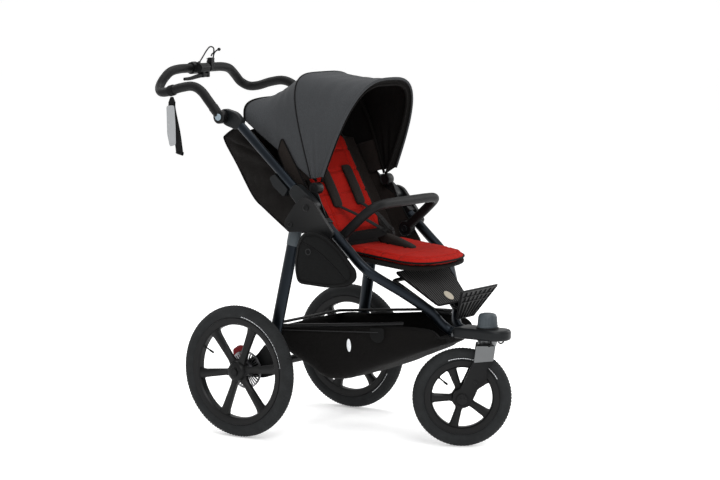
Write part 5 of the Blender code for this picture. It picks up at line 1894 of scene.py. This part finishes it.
def hood():
    count = 120
    rear = evened(arch((-0.196, 0.785), (-0.103, 1.0930), 0.1930, 4.2, 400), count)
    front = evened(arch((-0.238, 0.794), (-0.350, 1.0800), 0.1900, 3.0, 400, 0.04), count)
    rows = bay(rear, front, 44, 0.0075, 7)
    cover = cloth_grid("hood_front", rows, 0.0014, 0.0)
    dress(cover, "canopy_fabric", None, "canopy_fabric", "canopy_front")
    pivot = Vector((0, -0.103, 1.0930)), Vector((0, -0.350, 1.0800))
    hood_span = {"start": world(pivot[0]), "end": world(pivot[1])}
    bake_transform(cover)
    inner = [[inwards(p, 0.0028) for p in row] for row in rows]
    lining = cloth_grid("hood_front_lining", inner)
    dress(lining, "lining", None, "canopy_fabric")
    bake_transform(lining)
    rolled = tube("hood_rim", front, 0.0085, 0.0085, 14)
    dress(rolled, "canopy_fabric", "canopy_front_bow", "canopy_fabric")
    binding = tube(
        "hood_rim_binding", [inwards(p, 0.0050) + Vector((0, -0.001, 0)) for p in front], 0.0050, 0.0050, 12
    )
    dress(binding, "piping", "canopy_front_bow", "canopy_fabric")
    seam = evened(arch((-0.192, 0.786), (-0.1005, 1.0930), 0.1930, 4.2, 400), count)
    hem = evened(arch((0.050, 0.950), (0.054, 1.0140), 0.1960, 4.2, 400), count)
    rows = bay(seam, hem, 30, 0.0060, 3)
    cover = cloth_grid("hood_rear", rows, 0.0014, 0.0)
    dress(cover, "canopy_fabric", "frame", "canopy_fabric", "canopy_rear")
    inner = cloth_grid("hood_rear_lining", [[inwards(p, 0.0028) for p in row] for row in rows])
    dress(inner, "lining", "frame", "canopy_fabric")
    dress(tube("hood_rear_hem", hem, 0.0075, 0.0075, 12), "piping", "frame", "canopy_fabric")
    zip_line = [(a + b) / 2 for a, b in zip(rear, seam)]
    dress(
        tube("hood_zip", [inwards(p, -0.0006) for p in zip_line], 0.0042, 0.0042, 10),
        "piping",
        "frame",
        "canopy_fabric",
    )
    teeth = [[inwards(p, -0.0026) for p in zip_line]]
    dress(stitches("hood_zip_teeth", teeth, 0.0009, 0.0020, 0.0034), "thread", "frame", "canopy_fabric")
    for name, node, apex, half, body in (
        ("bow_rear", "canopy_bow_rear", (-0.108, 1.080), 0.182, "frame"),
        ("bow_front", "canopy_bow_front", (-0.338, 1.062), 0.172, "canopy_front_bow"),
    ):
        lean = (Vector(apex) - CANOPY_AXIS.yz).normalized() * 0.0195
        hoop = evened(arch(tuple(CANOPY_AXIS.yz + lean), apex, half, 3.4, 200), 72)
        dress(tube(name, hoop, 0.0085, 0.0085, 14), "lining", body, "plastic_dark", node)
        edge = evened(rear if name == "bow_rear" else front, 72)
        web = [[a.lerp(inwards(b, 0.002), k / 4) for a, b in zip(hoop, edge)] for k in range(5)]
        dress(cloth_grid(f"{name}_web", web), "lining", body, "canopy_fabric")

    arm = rounded(((-0.226, 0.745), (-0.197, 0.750), (-0.240, 0.655), (-0.268, 0.650)), 0.008)
    for side, sign in SIDES:
        bm = disc(bmesh.new(), 0.0180, sign * 0.1740, sign * 0.2030, CANOPY_AXIS, 0.002, 48, 0.0012)
        plate(bm, arm, sign * 0.1995, sign * 0.2030)
        obj = eased(finish_mesh(bm, f"hood_hub_{side}", 35), 0.0010)
        dress(obj, "plastic_dark", "frame", "plastic_dark", f"canopy_hub_{side}")


def inwards(point, distance):
    """A point of the hood moved towards the child's head."""
    point = Vector(point)
    heart = Vector((0, -0.17, 0.83))
    return point + (heart - point).normalized() * distance


# Luggage


def basket_section(half, rim, floor, points=36):
    """One cross-section of the tub: straight walls that lean in, wide round corners and a sagging floor."""
    wall = half - 0.012
    knots = [
        (-half, rim),
        (-half + 0.004, rim - (rim - floor) * 0.35),
        (-wall, floor + 0.024),
        (-wall + 0.022, floor + 0.002),
        (-wall * 0.5, floor - 0.001),
        (0, floor - 0.002),
        (wall * 0.5, floor - 0.001),
        ( wall - 0.022, floor + 0.002 ),
        (wall, floor + 0.024),
        (half - 0.004, rim - (rim - floor) * 0.35),
        (half, rim),
    ]
    return evened(
        [Vector((x, 0, z)) for x, _, z in smooth_route([Vector((x, 0, z)) for x, z in knots], 6)], points
    )


def basket():
    stations = ((-0.045, 0.176, 0.322, 0.264), (-0.150, 0.178, 0.330, 0.214), (-0.255, 0.178, 0.340, 0.179),
                (-0.440, 0.172, 0.358, 0.245), (-0.560, 0.112, 0.350, 0.296), (-0.580, 0.075, 0.325, 0.305))
    rows = []
    for y, half, rim_z, floor in (tuple(v) for v in smooth_stations(stations, 8)):
        rows.append([p + Vector((0, y, 0)) for p in basket_section(half, rim_z, floor)])
    for end, backwards in ((rows[0], True), (rows[-1], False)):
        top = max(p.z for p in end)
        wall = [
            [Vector((p.x, p.y, p.z + (top - p.z) * t)) for p in end] for t in (0.2, 0.4, 0.6, 0.8, 0.97)
        ]
        rows = [*reversed(wall), *rows] if backwards else [*rows, *wall]
    obj = cloth_grid("basket_tub", rows, 0.0024, 1.0)
    wrinkled(obj, 0.06, 0.0030, 2.0, (1, 1, 0.8))
    dress(obj, "basket_fabric", "frame", "dark_fabric", "basket")
    hoop = [
        (0.150, -0.031, 0.3300),
        (0.182, -0.040, 0.3310),
        (0.190, -0.080, 0.3340),
        (0.190, -0.255, 0.3500),
        (0.185, -0.400, 0.3630),
        (0.155, -0.500, 0.3700),
    ]
    knots = [(-x, y, z) for x, y, z in reversed(hoop)] + [(0, -0.031, 0.330)] + hoop
    dress(
        tube("basket_rail", smooth_route(knots, 8), 0.009, 0.009, 18),
        "plastic_dark",
        "frame",
        "rail",
        "basket_hoop",
    )
    rim_line = [
        p for p in (
            Vector((s * h, y, z - 0.001)) for s, order in (
                (-1, stations), (1, tuple(reversed(stations)))
            ) for y, h, z, _ in order
        )
    ]
    obj = finish_mesh(
        sweep(bmesh.new(), smooth_route([*rim_line, rim_line[0]], 6)[:-1], 0.0070, 0.0070, 10, loop=True),
        "basket_hem",
        60,
    )
    dress(obj, "piping", "frame", "dark_fabric")
    for side, sign in SIDES:
        basket_trim(side, sign)


def basket_trim(side, sign):
    """A reflective oval and a rounded flap on the tub's side, and a light binding line."""
    wall = lambda y, z, w=0.0: Vector((sign * (0.1790 - max(0.0, (0.330 - z)) * 0.09 + w), y, z))
    oval = [
        Vector((-0.322 + 0.0075 * math.cos(a), 0.292 + 0.020 * math.sin(a))) for a in (
            2 * math.pi * k / 32 for k in range(32)
        )
    ]
    obj = pillow(
        f"basket_reflector_{side}", oval, lambda y, z, w: wall(y, z, 0.0035 + w), 0.0008, 0.0008, 5.0, 6
    )
    dress(obj, "reflective", "frame", "dark_fabric")
    flap = rounded(
        (
            (-0.400, 0.3520),
            (-0.400, 0.3240),
            (-0.414, 0.3100),
            (-0.436, 0.3100),
            (-0.450, 0.3240),
            (-0.450, 0.3540),
        ),
        0.008,
    )
    obj = pillow(
        f"basket_flap_{side}",
        spread_out(flap, 0.006),
        lambda y,
        z,
        w: wall(y, z, 0.0030 + w),
        0.0014,
        0.0014,
        6.0,
        8,
    )
    dress(obj, "bag_fabric", "frame", "dark_fabric")
    line = [wall(y, 0.316 + (-y - 0.05) * 0.065, 0.004) for y in (-0.06, -0.14, -0.22, -0.30, -0.38, -0.43)]
    dress(
        tube(f"basket_binding_{side}", smooth_route(line, 5), 0.0045, 0.0028, 8),
        "thread",
        "frame",
        "dark_fabric",
    )


def smooth_stations(stations, steps):
    """The stations' four numbers carried along a smooth curve."""
    ys = smooth_route([Vector(s[:3]) for s in stations], steps)
    zs = smooth_route([Vector((s[0], s[1], s[3])) for s in stations], steps)
    return [(a.x, a.y, a.z, b.z) for a, b in zip(ys, zs)]


def side_bag():
    corners = (
        (-0.220, 0.634),
        (-0.266, 0.638),
        (-0.298, 0.628),
        (-0.355, 0.588),
        (-0.410, 0.530),
        (-0.411, 0.504),
        (-0.380, 0.482),
        (-0.310, 0.474),
        (-0.196, 0.479),
        (-0.188, 0.535),
        (-0.197, 0.599),
    )
    outline = spread_out(rounded(corners, 0.020, 5), 0.006)
    smaller = [Vector((-0.295, 0.550)) + (p - Vector((-0.295, 0.550))) * 0.975 for p in outline]
    bag = pillow("travel_pocket", smaller, lambda y, z, w: Vector((-0.2670 - w, y, z)), 0.0115, 0.0115, 3.6)
    zip_path = smooth_route(
        [
            Vector((-0.30, y, z)) for y, z in (
                (-0.214, 0.606), (-0.255, 0.592), (-0.300, 0.567), (-0.345, 0.533), (-0.378, 0.500)
            )
        ],
        10,
    )
    line = on_surface(bag, zip_path, (1, 0, 0))
    carve(bag, [line], 0.0050, 0.0022)
    wrinkled(bag, 0.05, 0.0018, 4.0)
    dress(bag, "bag_fabric", "frame", "dark_fabric", "side_bag")
    line = on_surface(bag, zip_path, (1, 0, 0), -0.0002)
    dress(tube("pocket_zip", line, 0.0050, 0.0026, 10, across=(0, 0, 1)), "piping", "frame", "dark_fabric")
    teeth = on_surface(bag, zip_path, (1, 0, 0), 0.0014)
    dress(stitches("pocket_zip_teeth", [teeth], 0.0008, 0.0018, 0.0030), "thread", "frame", "dark_fabric")
    ring = [
        Vector((-0.2862, -0.250 + 0.0085 * math.cos(a), 0.578 + 0.0085 * math.sin(a))) for a in (
            2 * math.pi * k / 24 for k in range(24)
        )
    ]
    obj = finish_mesh(sweep(bmesh.new(), ring, 0.0022, 0.0022, 10, loop=True), "pocket_zip_ring", 60)
    dress(obj, "thread", "frame", "dark_fabric")
    middle = Vector((-0.295, 0.550))
    seam = [Vector((-0.2670, p.x, p.y)) for p in smaller]
    obj = finish_mesh(sweep(bmesh.new(), seam, 0.0052, 0.0052, 8, loop=True), "pocket_piping", 60)
    dress(obj, "piping", "frame", "dark_fabric")
    face = [middle + (p - middle) * 0.90 for p in smaller]
    ring = on_surface(bag, [Vector((-0.30, p.x, p.y)) for p in face], (1, 0, 0), 0.0004)
    obj = finish_mesh(sweep(bmesh.new(), ring, 0.0040, 0.0030, 8, loop=True), "pocket_edge_piping", 60)
    dress(obj, "piping", "frame", "dark_fabric")


# Studio


def area_light(name, place, target, size, power):
    light = bpy.data.lights.new(name, "AREA")
    light.shape = "SQUARE"
    light.size = size
    light.energy = power
    obj = bpy.data.objects.new(name, light)
    obj.location = place
    obj.rotation_euler = (Vector(target) - Vector(place)).to_track_quat("-Z", "Y").to_euler()
    bpy.context.scene.collection.objects.link(obj)


def studio():
    bm = bmesh.new()
    bmesh.ops.create_grid(bm, x_segments=8, y_segments=8, size=260)
    floor = finish_mesh(bm, "floor")
    n = Nodes("floor_paper")
    cloud = n.ramp(n.noise(0.8, 3.0), 0.3, 0.7)
    n.set(
        Base_Color=n.mix(cloud, (0.94, 0.94, 0.94), (0.96, 0.96, 0.96)),
        Roughness=0.9,
        Specular_IOR_Level=0.1,
    )
    n.set(Emission_Color=(1.0, 1.0, 1.0, 1.0), Emission_Strength=FLOOR_GLOW)
    floor.data.materials.append(n.material)
    world_light = bpy.data.worlds.new("studio")
    world_light.use_nodes = True
    world_light.node_tree.nodes["Background"].inputs["Color"].default_value = (1.0, 1.0, 1.0, 1.0)
    world_light.node_tree.nodes["Background"].inputs["Strength"].default_value = SKY
    bpy.context.scene.world = world_light
    bpy.context.scene.view_settings.view_transform = "Standard"
    area_light("key", (-2.6, -2.6, 3.4), (0, 0, 0.5), 2.4, 95)
    area_light("top", (0.6, 0.2, 3.6), (0, 0, 0.5), 2.6, 60)
    area_light("side", (3.4, -1.6, 2.0), (0, 0, 0.6), 2.0, 45)
    area_light("back", (0.4, 3.6, 2.4), (0, 0, 0.6), 2.4, 45)
    camera = bpy.data.cameras.new("camera")
    camera.lens = CAMERA_LENS
    camera.sensor_width = 36.0
    camera.clip_end = 600.0
    obj = bpy.data.objects.new("camera", camera)
    obj.location = CAMERA_PLACE
    level = math.cos(CAMERA_PITCH)
    forward = Vector((math.sin(CAMERA_YAW) * level, math.cos(CAMERA_YAW) * level, math.sin(CAMERA_PITCH)))
    obj.rotation_euler = forward.to_track_quat("-Z", "Y").to_euler()
    bpy.context.scene.collection.objects.link(obj)
    bpy.context.scene.camera = obj


materials = make_materials()
studio()
wheels()
frame_tubes()
hinges()
handle_joints()
handlebar()
hand_brake()
wrist_strap()
head_and_fork()
rear_axle()
backrest()
seat()
leg_rest()
bumper()
hood()
basket()
side_bag()
